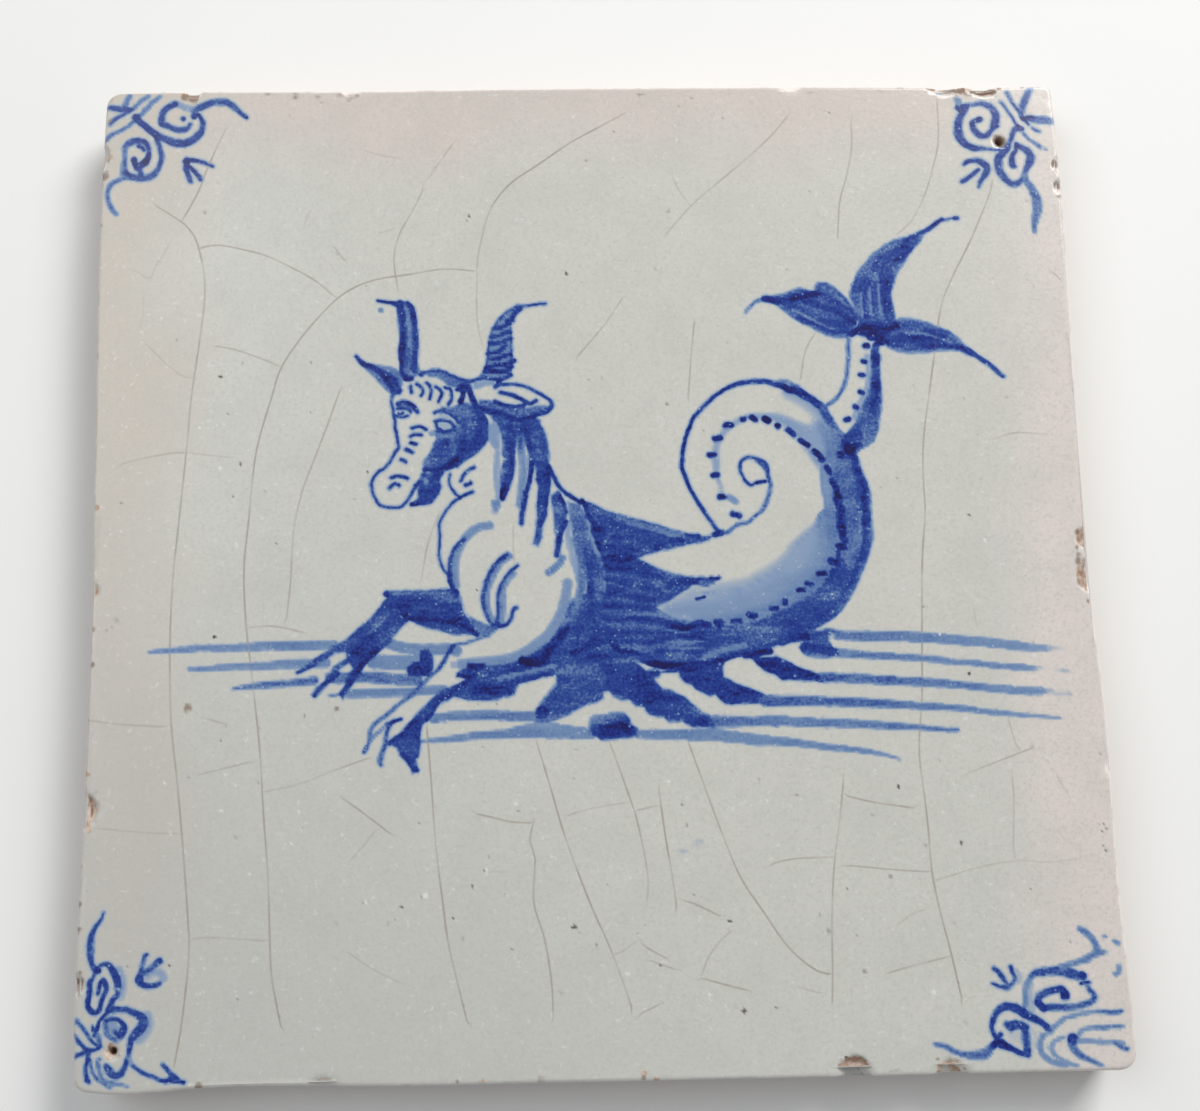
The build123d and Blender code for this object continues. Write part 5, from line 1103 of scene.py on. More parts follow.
# Pin specks in the glaze: x, y, radius and darkness
specks = (
    (-29.7, 37.2, 0.14, 0.5), (-25.8, 38.5, 0.15, 0.5), (-36.9, 26.6, 0.2, 0.6),
    (-31.7, 27.5, 0.14, 0.5), (-36.9, 19.8, 0.14, 0.5), (-33.7, 19, 0.14, 0.5),
    (-19.1, 31.7, 0.14, 0.5), (-28.1, 16.7, 0.14, 0.5), (-29.4, 11.6, 0.18, 0.9),
    (-31.3, 8.1, 0.14, 0.5), (-38, -1, 0.14, 0.5), (-37.2, -19.9, 0.22, 0.6),
    (-33.2, -19.1, 0.4, 0.4), (-15.3, -4.2, 0.22, 0.8), (-2.95, 38.5, 0.26, 0.95),
    (-0.8, 37.2, 0.14, 0.5), (1.5, 24.1, 0.14, 0.5), (-0.35, 23.7, 0.14, 0.5),
    (0, 19.9, 0.14, 0.5), (-10.6, 5.2, 0.14, 0.5), (-0.4, 15.1, 0.14, 0.5),
    (-15.4, -19, 0.16, 0.6), (-12.9, -19, 0.16, 0.6), (-14.8, -24.4, 0.18, 0.6),
    (-3.1, -24.9, 0.14, 0.5), (10, 20.2, 0.25, 0.6), (14.7, 16.5, 0.14, 0.5),
    (14.05, 18.25, 0.14, 0.5), (8.8, 25.6, 0.14, 0.5), (18.3, 28.6, 0.14, 0.5),
    (17.15, 30.8, 0.14, 0.5), (26.7, 38.7, 0.14, 0.5), (43.7, 33.4, 0.14, 0.5),
    (42.8, 22.2, 0.14, 0.5), (49.5, 20.5, 0.14, 0.5), (51, 15.4, 0.14, 0.5),
    (55.2, 20.3, 0.14, 0.5), (28.2, 25.05, 0.16, 0.6), (40, 9.6, 0.2, 0.5),
    (49.1, 4.45, 0.2, 0.9), (37.8, 8.5, 0.14, 0.5), (42.4, -7.5, 0.18, 0.7),
    (47.55, -1.1, 0.14, 0.5), (47.75, -16.3, 0.22, 1.0), (37.75, -30.5, 0.14, 0.5),
    (43.3, -27.2, 0.2, 0.45), (-3.5, -46.7, 0.25, 0.95), (-3.95, -46.75, 0.14, 0.9),
    (-2.95, -47.3, 0.12, 0.8), (-1.7, -47.65, 0.2, 0.35),
    (-48.8, -9.6, 0.24, 1.0), (-61.1, -7.2, 0.2, 0.4), (-62.5, -8.4, 0.2, 0.4),
    (-61.8, -8, 0.18, 0.45), (-49, -18.7, 0.18, 0.3), (-47.7, -19.1, 0.2, 0.3),
    (-44, -17.9, 0.16, 0.4), (-43, -21.3, 0.16, 0.5), (-47, -20.9, 0.18, 0.5),
    (-47.7, -22.7, 0.18, 0.6), (-51.6, -27.3, 0.2, 0.45), (-40.4, -27, 0.16, 0.4),
    (55.2, -25.8, 0.25, 0.35), (-53.35, -50.1, 0.2, 0.9), (-58.5, -50, 0.15, 0.6),
    (-53.7, -55.1, 0.18, 0.4), (-50, -45.6, 0.18, 0.35), (-49.5, -57.3, 0.35, 0.3),
    (-51.4, 47.85, 0.22, 0.6), (-55.4, 51.15, 0.2, 0.4), (59.9, 48, 0.16, 0.4),
    (58.2, -50, 0.2, 0.5), (43.7, -47.4, 0.16, 0.35), (44.5, -59.4, 0.25, 0.3),
    (-43.4, 64.9, 0.35, 0.5), (-39.2, 64.9, 0.35, 0.5), (-35.85, 63.5, 0.2, 0.55),
    (13, 62.5, 0.2, 0.5), (14.8, 63.6, 0.2, 0.5), (16.9, 64.3, 0.2, 0.5), (18.9, 60.7, 0.2, 0.5),
    (31, 64.1, 0.18, 0.8), (32, 64.1, 0.18, 0.8), (63.1, 40.6, 0.18, 0.4),
    (59.8, 36, 0.14, 0.4), (61.2, 35.1, 0.18, 0.3), (-37, 60.2, 0.18, 0.25),
    (-40.1, 61.9, 0.22, 0.25),
    (-54.6, 30.1, 0.2, 0.5), (-48.7, 24.9, 0.28, 0.95), (-45.8, 26.8, 0.2, 0.5),
    (-45.9, 13, 0.25, 0.85), (-46.75, 8.8, 0.18, 0.7), (-47.6, 19.8, 0.18, 0.6),
    (-61.1, 8.1, 0.2, 0.6), (-42.6, 9.2, 0.18, 0.45), (-41.2, 2.4, 0.14, 0.85),
    (-60.1, 22, 0.22, 0.35), (-61.5, 23.6, 0.2, 0.3), (-50, 0.2, 0.2, 0.4),
    (-60.7, 33.8, 0.15, 0.4), (-58.3, 38.6, 0.2, 0.4), (-15.9, 46.85, 0.25, 0.95),
    (-16.2, 46.2, 0.15, 0.55), (-20.3, 54.1, 0.18, 0.45), (-30.6, 47, 0.15, 0.4),
    (-33.6, 41.6, 0.15, 0.5), (3.9, 58.8, 0.2, 0.65), (0.1, 54.7, 0.22, 0.55),
    (11, 47.2, 0.25, 0.5), (-1.3, 39.5, 0.15, 0.45), (9, 39.1, 0.2, 0.35), (33.6, 61.2, 0.2, 0.75),
    (32.9, 61.6, 0.18, 0.35), (30.4, 49.7, 0.2, 0.5), (25.2, 45.2, 0.2, 0.4),
    (36.4, 55.8, 0.18, 0.4), (26.2, 58.6, 0.18, 0.4), (23.6, 39.8, 0.15, 0.4),
    (45.7, 48.8, 0.15, 0.45), (-42.9, -28.1, 0.2, 0.5), (-50.6, -29.7, 0.15, 0.4),
    (-51.3, -30.6, 0.15, 0.4), (-44.9, -54.4, 0.2, 0.6), (-39.9, -56.5, 0.2, 0.6),
    (-45.6, -34.7, 0.2, 0.35), (-25, -43.8, 0.2, 0.95), (-14, -37.95, 0.18, 0.8),
    (-16.2, -41.5, 0.22, 0.8), (-18.6, -45.3, 0.2, 0.9), (-17.5, -47.85, 0.2, 0.6),
    (-11.3, -49.2, 0.18, 0.6), (-14.7, -39.65, 0.2, 0.7), (-33.1, -45.7, 0.35, 0.3),
    (-26.65, -45.75, 0.15, 0.7), (-26.25, -45.7, 0.15, 0.7), (-25.7, -45.3, 0.13, 0.6),
    (-22.55, -42.7, 0.2, 0.5), (-22.75, -33.6, 0.15, 0.6), (-25, -29, 0.2, 0.4),
    (-10.35, -32.4, 0.2, 0.5), (-28.5, -37.6, 0.15, 0.4), (-14.55, -31.25, 0.15, 0.5),
    (-17.4, -55.7, 0.2, 0.5), (-29.7, -43.2, 0.18, 0.5), (10.3, -32, 0.2, 0.7),
    (10.8, -34.65, 0.25, 0.5), (-2.7, -37.4, 0.2, 0.4), (-0.9, -49, 0.2, 0.6),
    (4.3, -47.7, 0.15, 0.5), (-5.4, -54.5, 0.15, 0.4), (-3.3, -28.4, 0.15, 0.5),
    (0.6, -41.65, 0.15, 0.5), (15.7, -46.5, 0.25, 0.95), (17.1, -57.3, 0.32, 0.95),
    (7, -51.5, 0.2, 0.95), (11.4, -43.15, 0.2, 0.6), (37.75, -30.45, 0.25, 0.95),
    (45.35, -37.6, 0.25, 0.95), (24.8, -31.2, 0.22, 0.6), (34.3, -34, 0.2, 0.5),
    (30.6, -42.95, 0.22, 0.7), (27, -46, 0.22, 0.5), (36.1, -41.55, 0.3, 0.5),
    (31.55, -48.6, 0.15, 0.5), (32.2, -53, 0.3, 0.5), (43.8, -54.65, 0.2, 0.7),
    (40.6, -45.85, 0.3, 0.4), (20.2, -29.2, 0.2, 0.5), (41, -37.7, 0.3, 0.4), (28, -48, 0.35, 0.5),
    (21.1, -57, 0.2, 0.7), (53.65, -43.5, 0.2, 0.6), (55.2, -41.8, 0.2, 0.4),
    (53.6, -35.25, 0.15, 0.4), (61.3, 26, 0.25, 0.35), (50.95, 9.2, 0.15, 0.5),
    (62.9, 5.9, 0.15, 0.5), (-36.1, 64.4, 0.35, 0.7), (-39.4, 64.3, 0.3, 0.6),
    (7.5, 64.15, 0.25, 0.6), (8.6, 64.2, 0.25, 0.6), (34.4, 64.1, 0.18, 0.7),
    (38.3, 64.8, 0.25, 0.7), (41.2, 64.2, 0.3, 0.4), (42, 64.2, 0.3, 0.4), (-65, 27.8, 0.3, 0.8),
    (-64.2, -12.8, 0.3, 0.8), (29.4, -63.1, 0.2, 0.9), (34.6, -64.9, 0.25, 0.8),
    # The two entries of darkness 1.0 on this line darken the nail holes
    (35.4, -64.8, 0.25, 0.8), (56.85, 56.75, 0.5, 1.0), (-59.8, -59.9, 0.4, 1.0),
    (64.1, -26.9, 0.25, 0.6), (63.1, -35.6, 0.14, 0.9), (63.6, -35.8, 0.14, 0.9),
    (63.9, -36.4, 0.14, 0.9), (64.1, -35.4, 0.14, 0.8), (63.4, -36.6, 0.14, 0.9),
    (63.3, -38.5, 0.14, 0.8), (63.5, -39.1, 0.18, 1.0), (64.2, 21.3, 0.16, 0.6),
)

# White flecks of bare tin glaze: x, y and radius
flecks = (
    (-51.3, 18, 0.2), (-48.5, 12.5, 0.22), (-46.2, 2.3, 0.2), (-47, -27.1, 0.18),
    (-54.6, -27.9, 0.15), (-53.7, -34.1, 0.18), (-47.5, -31.5, 0.2), (-37.8, -31.9, 0.18),
    (-38.7, -35.7, 0.2), (-43.9, -39.4, 0.18), (-40.35, -34.6, 0.15), (-32.3, -34.7, 0.18),
    (-22, -42.5, 0.3), (-10.65, -31.4, 0.22), (-16.25, -28, 0.15), (-14.35, -39.5, 0.2),
    (-29.4, -43.1, 0.22), (8.6, -29.2, 0.2), (2.85, -52.5, 0.2), (13, -55.3, 0.2),
    (21.1, -31.75, 0.15), (40.7, -55.65, 0.25), (60, -32.6, 0.15), (-16.7, 52.6, 0.15),
    (51, 1.1, 0.2), (44.3, -11.1, 0.15), (56.4, -14, 0.15),
)

# Brown stains: x, y, radius and strength
stains = (
    (-52, -18.5, 0.75, 0.7), (-51.6, -18.4, 0.5, 0.5), (-52.4, -19.2, 0.3, 0.8),
    (-36.9, 26.6, 0.3, 0.5), (-33.2, -19.1, 0.5, 0.6), (-54.3, 64.6, 0.8, 0.8),
    (-53.3, 64.6, 0.9, 0.9), (-53, 63.6, 0.6, 0.5), (-32, 64.4, 0.9, 0.55),
    (43.6, 64.8, 0.6, 0.6), (48.4, 64.8, 0.8, 0.5), (50.2, 64.7, 0.9, 0.7), (51.8, 64.6, 1.0, 0.8),
    (55.2, 64.5, 1.1, 0.8), (56.3, 64.2, 0.7, 0.9), (51.3, 63.6, 0.5, 0.6), (60.6, 64.8, 0.4, 0.8),
    (64.3, 53.4, 0.7, 0.8), (64.2, 52.2, 0.6, 0.6), (64.4, 50.3, 0.7, 0.8), (64.5, 48.6, 0.4, 0.8),
    (63.6, 51.2, 0.3, 0.5), (63.3, 2, 0.5, 0.8), (63, 0, 0.5, 0.7), (63, -2, 0.5, 0.7),
    (63.3, -4.6, 0.8, 0.7), (64, -7.2, 0.4, 0.8), (63.8, -26.8, 0.35, 0.6), (63.6, -28.6, 0.3, 0.6),
    (63.5, -37, 0.25, 0.5), (-64.9, 53.2, 0.7, 0.8), (-65.1, 46.4, 0.4, 0.8),
    (-64.4, 61.2, 0.5, 0.7), (-64.6, 64.2, 0.8, 0.5), (-64.4, -8.3, 0.55, 0.9),
    (-64.2, -12.8, 0.55, 0.8), (-64.2, -4, 0.5, 0.5), (-64.3, -31.3, 0.9, 0.8),
    (-64, -26.2, 0.5, 0.5), (-64.7, -38, 0.6, 0.6), (-64.7, -42.6, 0.5, 0.9),
    (-64.6, -45.6, 0.5, 0.8), (-64.7, -51.7, 0.5, 0.9), (-46.4, -61, 0.4, 0.6),
    (-49.5, -64.4, 0.6, 0.8), (-18.2, -64.7, 0.35, 0.8), (-14.9, -64.6, 0.35, 0.9),
    (-13.2, -64.7, 0.3, 0.7), (-8, -64.7, 0.8, 0.5), (4.5, -64.9, 0.5, 0.8),
    (31.2, -64.7, 0.5, 0.6), (29.4, -63.4, 0.25, 0.9), (40.7, -63.6, 0.3, 0.9),
    (42.2, -63.7, 0.25, 0.8), (44, -64.8, 0.3, 0.8), (56.85, 56.75, 0.95, 1.0), (56.5, 56.4, 0.7, 0.6),
    (-59.9, -60, 0.5, 1.0), (-59.3, -60.6, 0.5, 0.6), (35.2, -64.9, 0.3, 0.6),
    (36.8, -64.8, 0.3, 0.5), (38.8, -65.1, 0.3, 0.6),
    (-33.6, 64.6, 0.5, 0.7), (-32.5, 63.7, 0.35, 0.6), (-30.9, 64.6, 0.5, 0.7),
    (53, 63.9, 0.6, 0.8), (54.6, 64, 0.6, 0.8), (47.6, 64.8, 0.6, 0.7), (61, -4.5, 0.3, 0.5),
    (63.5, 1, 0.5, 0.8), (63.2, -1, 0.5, 0.8), (63.4, -3.4, 0.5, 0.8), (23.8, -56.1, 0.5, 0.5),
    (56.4, 57.5, 0.5, 0.7), (57.3, 56.2, 0.5, 0.6), (-62.9, -29, 0.35, 0.8),
    (-62.8, -32.5, 0.35, 0.8), (-63.9, -30.8, 0.5, 0.7), (-2.4, -27.95, 0.5, 0.3),
    (28.7, -63.4, 0.35, 0.7), (31.2, -63.2, 0.4, 0.7), (-64.6, 58.3, 0.35, 0.7),
    (-64.5, 53.9, 0.35, 0.7), (-64.2, -50.6, 0.35, 0.8), (-64.2, -53.4, 0.35, 0.8),
)

# Bare, light patches where the glaze is chipped without depth: x, y, radius
bare_patches = (
    (-54.3, 64.9, 0.35), (53.5, 64.7, 0.5), (-64.3, 7.3, 0.4), (-64.3, -26.4, 0.45),
    (-63.8, -33.3, 0.4), (-15.3, -64.7, 0.25), (4.7, -64.3, 0.35), (6.2, -65.2, 0.5),
    (-60.6, -60.2, 0.45), (-60.2, -59.4, 0.4), (-60.4, -60.8, 0.3), (41, -64.7, 0.6),
    (42.3, -64.7, 0.5), (43.4, -65, 0.4), (28.7, -64, 0.3), (-64.4, 56, 0.5), (-64.3, -52.2, 0.6),
    (31.4, -63.8, 0.25), (46.6, 65, 0.35), (48.2, 64.8, 0.45), (49.6, 64.7, 0.5),
    (51, 64.6, 0.45), (52.2, 64.6, 0.45), (55, 64.5, 0.5), (56.4, 64.3, 0.45), (57.4, 64.6, 0.3),
)

# Pinholes in the dark paint, where the white glaze shows: x and y
light_chips = (
    (23.85, -14.2), (25.3, -16.1), (15.65, -14.4), (9.1, -12.85), (20.7, -8.7), (3.9, -22.1),
)
chip_core = 0.1
chip_reach = 0.25
chip_strength = 0.6


def smooth_path(points, spacing=0.2):
    """Points along the smooth curve through the given ones, and where each lies between them."""
    given = np.asarray(points, float)
    if len(given) < 3:
        count = max(2, int(np.hypot(*(given[-1] - given[0])) / spacing) + 1)
        share = np.linspace(0, len(given) - 1, count)
        place = np.stack([np.interp(share, range(len(given)), given[:, k]) for k in (0, 1)], 1)
        return place, share
    before = np.concatenate([2 * given[:1] - given[1:2], given, 2 * given[-1:] - given[-2:-1]])
    places = []
    shares = []
    for start in range(len(given) - 1):
        a, b, c, d = before[start:start + 4]
        count = max(1, int(np.hypot(*(c - b)) / spacing))
        t = (np.arange(count) / count)[:, None]
        places.append(0.5 * (2 * b + (c - a) * t + (2 * a - 5 * b + 4 * c - d) * t**2
                             + (3 * b - a - 3 * c + d) * t**3))
        shares.append(start + t[:, 0])
    places.append(given[-1:])
    shares.append([len(given) - 1])
    return np.concatenate(places), np.concatenate(shares)


def steps_to(low, high, value):
    """A smooth step that is 0 at the low value and beyond it, and 1 at the high one."""
    share = np.clip((value - low) / (high - low), 0, 1)
    return share * share * (3 - 2 * share)


def value_noise(x, y, scale, seed):
    """Smooth noise from -1 to 1 with lumps of about the scale's size."""
    rng = np.random.default_rng(seed)
    size = 64
    table = rng.uniform(-1, 1, (size, size))
    u = x / scale
    v = y / scale
    i = np.floor(u).astype(int)
    j = np.floor(v).astype(int)
    s = steps_to(0, 1, u - i)
    t = steps_to(0, 1, v - j)
    low = table[i % size, j % size] * (1 - s) + table[(i + 1) % size, j % size] * s
    high = table[i % size, (j + 1) % size] * (1 - s) + table[(i + 1) % size, (j + 1) % size] * s
    return low * (1 - t) + high * t


def segment_distance(x, y, start, end):
    """Distance to a segment, and how far along it the nearest place is."""
    run = end - start
    length = max(float(run @ run), 1e-12)
    share = np.clip(((x - start[0]) * run[0] + (y - start[1]) * run[1]) / length, 0, 1)
    return np.hypot(x - start[0] - share * run[0], y - start[1] - share * run[1]), share


def line_distance(x, y, stroke):
    """Distance outside a brush line of varying width, less than 0 inside it."""
    place, share = smooth_path(stroke["points"])
    width = np.atleast_1d(stroke["width"]).astype(float)
    half = np.interp(share, np.linspace(0, share[-1], len(width)), width) / 2
    best = np.full(x.shape, far_away)
    for k in range(len(place) - 1):
        margin = half[k] + stroke_reach
        near = ((x > min(place[k, 0], place[k + 1, 0]) - margin)
                & (x < max(place[k, 0], place[k + 1, 0]) + margin)
                & (y > min(place[k, 1], place[k + 1, 1]) - margin)
                & (y < max(place[k, 1], place[k + 1, 1]) + margin))
        away, along = segment_distance(x[near], y[near], place[k], place[k + 1])
        away = away - (half[k] * (1 - along) + half[k + 1] * along)
        best[near] = np.minimum(best[near], away)
    return best


def area_distance(x, y, points):
    """Distance outside a closed shape, less than 0 inside it."""
    ring = np.asarray(points, float)
    best = np.full(x.shape, far_away)
    inside = np.zeros(x.shape, bool)
    for start, end in zip(ring, np.roll(ring, -1, 0)):
        away, _ = segment_distance(x, y, start, end)
        best = np.minimum(best, away)
        if start[1] != end[1]:
            crosses = (y > min(start[1], end[1])) & (y <= max(start[1], end[1]))
            at = start[0] + (y - start[1]) * (end[0] - start[0]) / (end[1] - start[1])
            inside ^= crosses & (x < at)
    return np.where(inside, -best, best)


def raster_part(stroke, count):
    """The part of the raster that a stroke can reach."""
    points = np.asarray(stroke["points"], float)
    margin = np.max(stroke.get("width", 0.0)) / 2 + stroke_reach
    low = np.floor((points.min(0) - margin + raster_reach) / raster_step).astype(int)
    high = np.ceil((points.max(0) + margin + raster_reach) / raster_step).astype(int) + 1
    low = np.clip(low, 0, count)
    high = np.clip(high, 0, count)
    return (slice(low[0], high[0]), slice(low[1], high[1]))


def paint_raster():
    """The raster's ticks, the places of its points and the tone of the paint at each."""
    ticks = np.arange(-raster_reach, raster_reach + raster_step / 2, raster_step)
    x, y = np.meshgrid(ticks, ticks, indexing="ij")
    fine, coarse = shake_lumps
    shaken_x = x + shake * value_noise(x, y, fine, 1) + shake * value_noise(x, y, coarse, 2)
    shaken_y = y + shake * value_noise(x, y, fine, 3) + shake * value_noise(x, y, coarse, 4)
    tone = np.zeros(x.shape)
    bleed = np.zeros(x.shape)
    for stroke in painting:
        part = raster_part(stroke, len(ticks))
        if stroke["kind"] == "line":
            away = line_distance(shaken_x[part], shaken_y[part], stroke) - line_spread
        else:
            away = area_distance(shaken_x[part], shaken_y[part], stroke["points"])
        cover = steps_to(stroke["edge"], -stroke["edge"], away)
        tone[part] = tone[part] * (1 - cover) + stroke["tone"] * cover
        if stroke["tone"] > 0:
            strength = bleed_strength * min(stroke["tone"], bleed_full_tone)
            halo = strength * np.exp(-np.maximum(away, 0) / bleed_reach)
            bleed[part] = np.maximum(bleed[part], halo)
    return ticks, x, y, np.maximum(tone, bleed)


def add_spots(x, y, spots, softness):
    """The strongest of some round soft spots, each x, y, radius and, if not 1, strength."""
    field = np.zeros(x.shape)
    for spot in spots:
        away = np.hypot(x - spot[0], y - spot[1])
        strength = spot[3] if len(spot) > 3 else 1.0
        near = away < spot[2] + softness
        field[near] = np.maximum(
            field[near], strength * steps_to(spot[2] + softness, spot[2] - softness, away[near])
        )
    return field


def sample(field, x, y):
    """Values of a raster at any places, blended between its nearest points."""
    u = np.clip((x + raster_reach) / raster_step, 0, field.shape[0] - 1.001)
    v = np.clip((y + raster_reach) / raster_step, 0, field.shape[1] - 1.001)
    i = u.astype(int)
    j = v.astype(int)
    s = u - i
    t = v - j
    low = field[i, j] * (1 - s) + field[i + 1, j] * s
    high = field[i, j + 1] * (1 - s) + field[i + 1, j + 1] * s
    return low * (1 - t) + high * t


# The CAD solid, for heights and the edge
cad_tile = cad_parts["tile"]
cad_vertices = [cad_tile.matrix_world @ v.co / metre for v in cad_tile.data.vertices]
cad_tree = BVHTree.FromPolygons(cad_vertices, [list(p.vertices) for p in cad_tile.data.polygons])
above_face = 4.0  # where the rays for heights start


def height_at(x, y):
    """Height of the CAD's top surface."""
    hit = cad_tree.ray_cast(Vector((x, y, face_height + above_face)), Vector((0, 0, -1)))
    return hit[0].z if hit[0] is not None else 0.0


# Rim of the mesh, swept round the edge: each side's first corner, its run and its way out, and
# where the rim's rows aim, as distances in from the nominal edge and heights. The first few rows
# belong to the face.
rim_sides = (
    ((-1, -1), (1, 0), (0, -1)), ((1, -1), (0, 1), (1, 0)),
    ((1, 1), (-1, 0), (0, 1)), ((-1, 1), (0, -1), (-1, 0)),
)
rim_rows = (
    (0.75, 8.0), (0.6, 8.0), (0.46, 7.99), (0.32, 7.96), (0.2, 7.9), (0.1, 7.78), (0.03, 7.62),
    (0.0, 7.4), (0.0, 7.0), (0.0, 6.4), (0.0, 5.5), (0.0, 4.4), (0.0, 3.2), (0.0, 2.0),
    (0.0, 0.9), (0.15, 0.45), (0.55, 0.1), (1.2, 0.0),
)
face_rows = 8
rim_height = 4.2
rim_inset = 3.0
rim_step = 0.75
rim_fine_step = 0.3
rim_fine_length = 15.0
corner_steps = 16


def rim_columns():
    """For each column of the rim: where its rays start, which way they point, and its side."""
    inner = half_side - rim_inset
    fine = np.arange(0, rim_fine_length, rim_fine_step)
    middle_length = 2 * (inner - rim_fine_length)
    middle = rim_fine_length + np.linspace(0, middle_length, int(middle_length / rim_step))
    steps = np.concatenate([fine, middle, 2 * inner - fine[::-1]]).tolist()
    columns = []
    for side, (corner, along, out) in enumerate(rim_sides):
        for step in steps:
            start = (corner[0] * inner + along[0] * step, corner[1] * inner + along[1] * step)
            columns.append((start, out, side))
        turn = math.atan2(out[1], out[0])
        end = (corner[0] * inner + along[0] * 2 * inner, corner[1] * inner + along[1] * 2 * inner)
        for k in range(1, corner_steps):
            share = k / corner_steps
            angle = turn + share * math.pi / 2
            nearest = side if share < 0.5 else (side + 1) % len(rim_sides)
            columns.append((end, (math.cos(angle), math.sin(angle)), nearest))
    return columns


def rim_points(columns):
    """Points of the rim, by column and row, where rays from inside leave the CAD solid."""
    grid = np.zeros((len(columns), len(rim_rows), 3))
    for c, (start, out, _) in enumerate(columns):
        origin = Vector((start[0], start[1], rim_height))
        for r, (inset, height) in enumerate(rim_rows):
            aim = Vector((out[0] * (rim_inset - inset), out[1] * (rim_inset - inset),
                          height - rim_height))
            hit = cad_tree.ray_cast(origin, aim.normalized())
            grid[c, r] = hit[0]
    return grid


# How much each thing on the face counts when the mesh's cells are split
speck_detail = 0.5
stain_detail = 0.3
fleck_detail = 0.3
depth_detail = 0.8
full_depth = 1.0


def face_detail(x, y, tone, speck, stain):
    """How much there is to show at each point of the raster: paint, spots, flakes and holes."""
    detail = tone + speck_detail * speck + stain_detail * stain
    detail = detail + fleck_detail * add_spots(x, y, flecks, fleck_rim)
    depth = np.zeros_like(tone)
    edge_band = np.maximum(np.abs(x), np.abs(y)) > flake_band
    for i, j in np.argwhere(edge_band[::2, ::2]) * 2:
        depth[i:i + 2, j:j + 2] = face_height - height_at(x[i, j], y[i, j])
    for hole_x, hole_y, radius in nail_zones:
        for i, j in np.argwhere(np.hypot(x - hole_x, y - hole_y) < radius):
            depth[i, j] = face_height - height_at(x[i, j], y[i, j])
    return detail + np.clip(depth, 0, full_depth) * depth_detail


def split_cells(detail):
    """Which cells of each size are split, finest last, with neighbours at most one size apart."""
    flags = []
    for steps, limit in zip(cell_steps[:-1], split_contrast):
        count = (detail.shape[0] - 1) // steps
        high = np.full((count, count), -far_away)
        low = np.full((count, count), far_away)
        for i in range(steps + 1):
            for j in range(steps + 1):
                part = detail[i:i + count * steps:steps, j:j + count * steps:steps]
                high = np.maximum(high, part[:count, :count])
                low = np.minimum(low, part[:count, :count])
        flags.append(high - low > limit)
    for fine in range(len(flags) - 1, 0, -1):
        grown = np.pad(flags[fine], 1)
        size = flags[fine].shape[0]
        spread = np.zeros((size, size), bool)
        for i in range(3):
            for j in range(3):
                spread |= grown[i:i + size, j:j + size]
        coarse = spread.reshape(size // 2, 2, size // 2, 2).any(axis=(1, 3))
        flags[fine - 1] |= coarse
    return flags


def used_points(flags, size):
    """Which points of the raster are corners or middles of cells."""
    used = np.zeros((size, size), bool)
    used[::cell_steps[0], ::cell_steps[0]] = True
    for steps, split in zip(cell_steps[:-1], flags):
        half = steps // 2
        i, j = np.nonzero(split)
        for a in (0, half, steps):
            for b in (0, half, steps):
                used[i * steps + a, j * steps + b] = True
    return used


def points_inside(ring, ticks, detail):
    """Places of the face's points inside a ring, closer together where there is detail."""
    i, j = np.nonzero(used_points(split_cells(detail), len(ticks)))
    x = ticks[i]
    y = ticks[j]
    keep = -area_distance(x, y, ring) > ring_gap
    return x[keep], y[keep]


def triangulated(ring, x, y):
    """Faces over a ring's own points and then the points inside it, numbered in that order."""
    flat = [tuple(p) for p in ring.tolist()] + list(zip(x.tolist(), y.tolist()))
    made = delaunay_2d_cdt(flat, [], [list(range(len(ring)))], 1, 1e-6, True)
    order = [group[0] for group in made[3]]
    return [[order[v] for v in face] for face in made[2]]


def closed_shell(outer, sides, face_x, face_y, back_x, back_y):
    """Vertices and polygons of the tile, and which part of it each polygon belongs to.

    The vertices are the rim's rows from the face down, then the face's points, then the back's.
    """
    columns, rows = outer.shape[:2]
    vertices = outer.transpose(1, 0, 2).reshape(-1, 3).tolist()
    face_shift = len(vertices) - columns
    vertices += [[x, y, height_at(x, y)] for x, y in zip(face_x.tolist(), face_y.tolist())]
    back_shift = len(vertices) - columns
    vertices += [[x, y, 0.0] for x, y in zip(back_x.tolist(), back_y.tolist())]
    polygons = []
    parts = []
    for face in triangulated(outer[:, 0, :2], face_x, face_y):
        polygons.append([v if v < columns else face_shift + v for v in face])
        parts.append(("face", 0))
    for r in range(rows - 1):
        for c in range(columns):
            d = (c + 1) % columns
            polygons.append([r * columns + c, (r + 1) * columns + c, (r + 1) * columns + d,
                             r * columns + d])
            parts.append(("face", 0) if r < face_rows - 1 else ("side", sides[c]))
    last_row = (rows - 1) * columns
    for face in triangulated(outer[:, -1, :2], back_x, back_y):
        polygon = [last_row + v if v < columns else back_shift + v for v in face]
        polygons.append(polygon[::-1])
        parts.append(("back", 0))
    return vertices, polygons, parts


def sorted_cracks():
    """The cracks' paths and strengths, sorted so that those of one channel lie well apart."""
    channels = [[] for _ in range(crack_channels)]
    for strength, *points in cracks:
        place, _ = smooth_path(points, crack_spacing)
        for channel in channels:
            apart = min((np.hypot(other[:, None, 0] - place[None, :, 0],
                                  other[:, None, 1] - place[None, :, 1]).min()
                         for other, _ in channel), default=math.inf)
            if apart > crack_gap:
                channel.append((place, strength))
                break
        else:
            channels[-1].append((place, strength))
    return channels


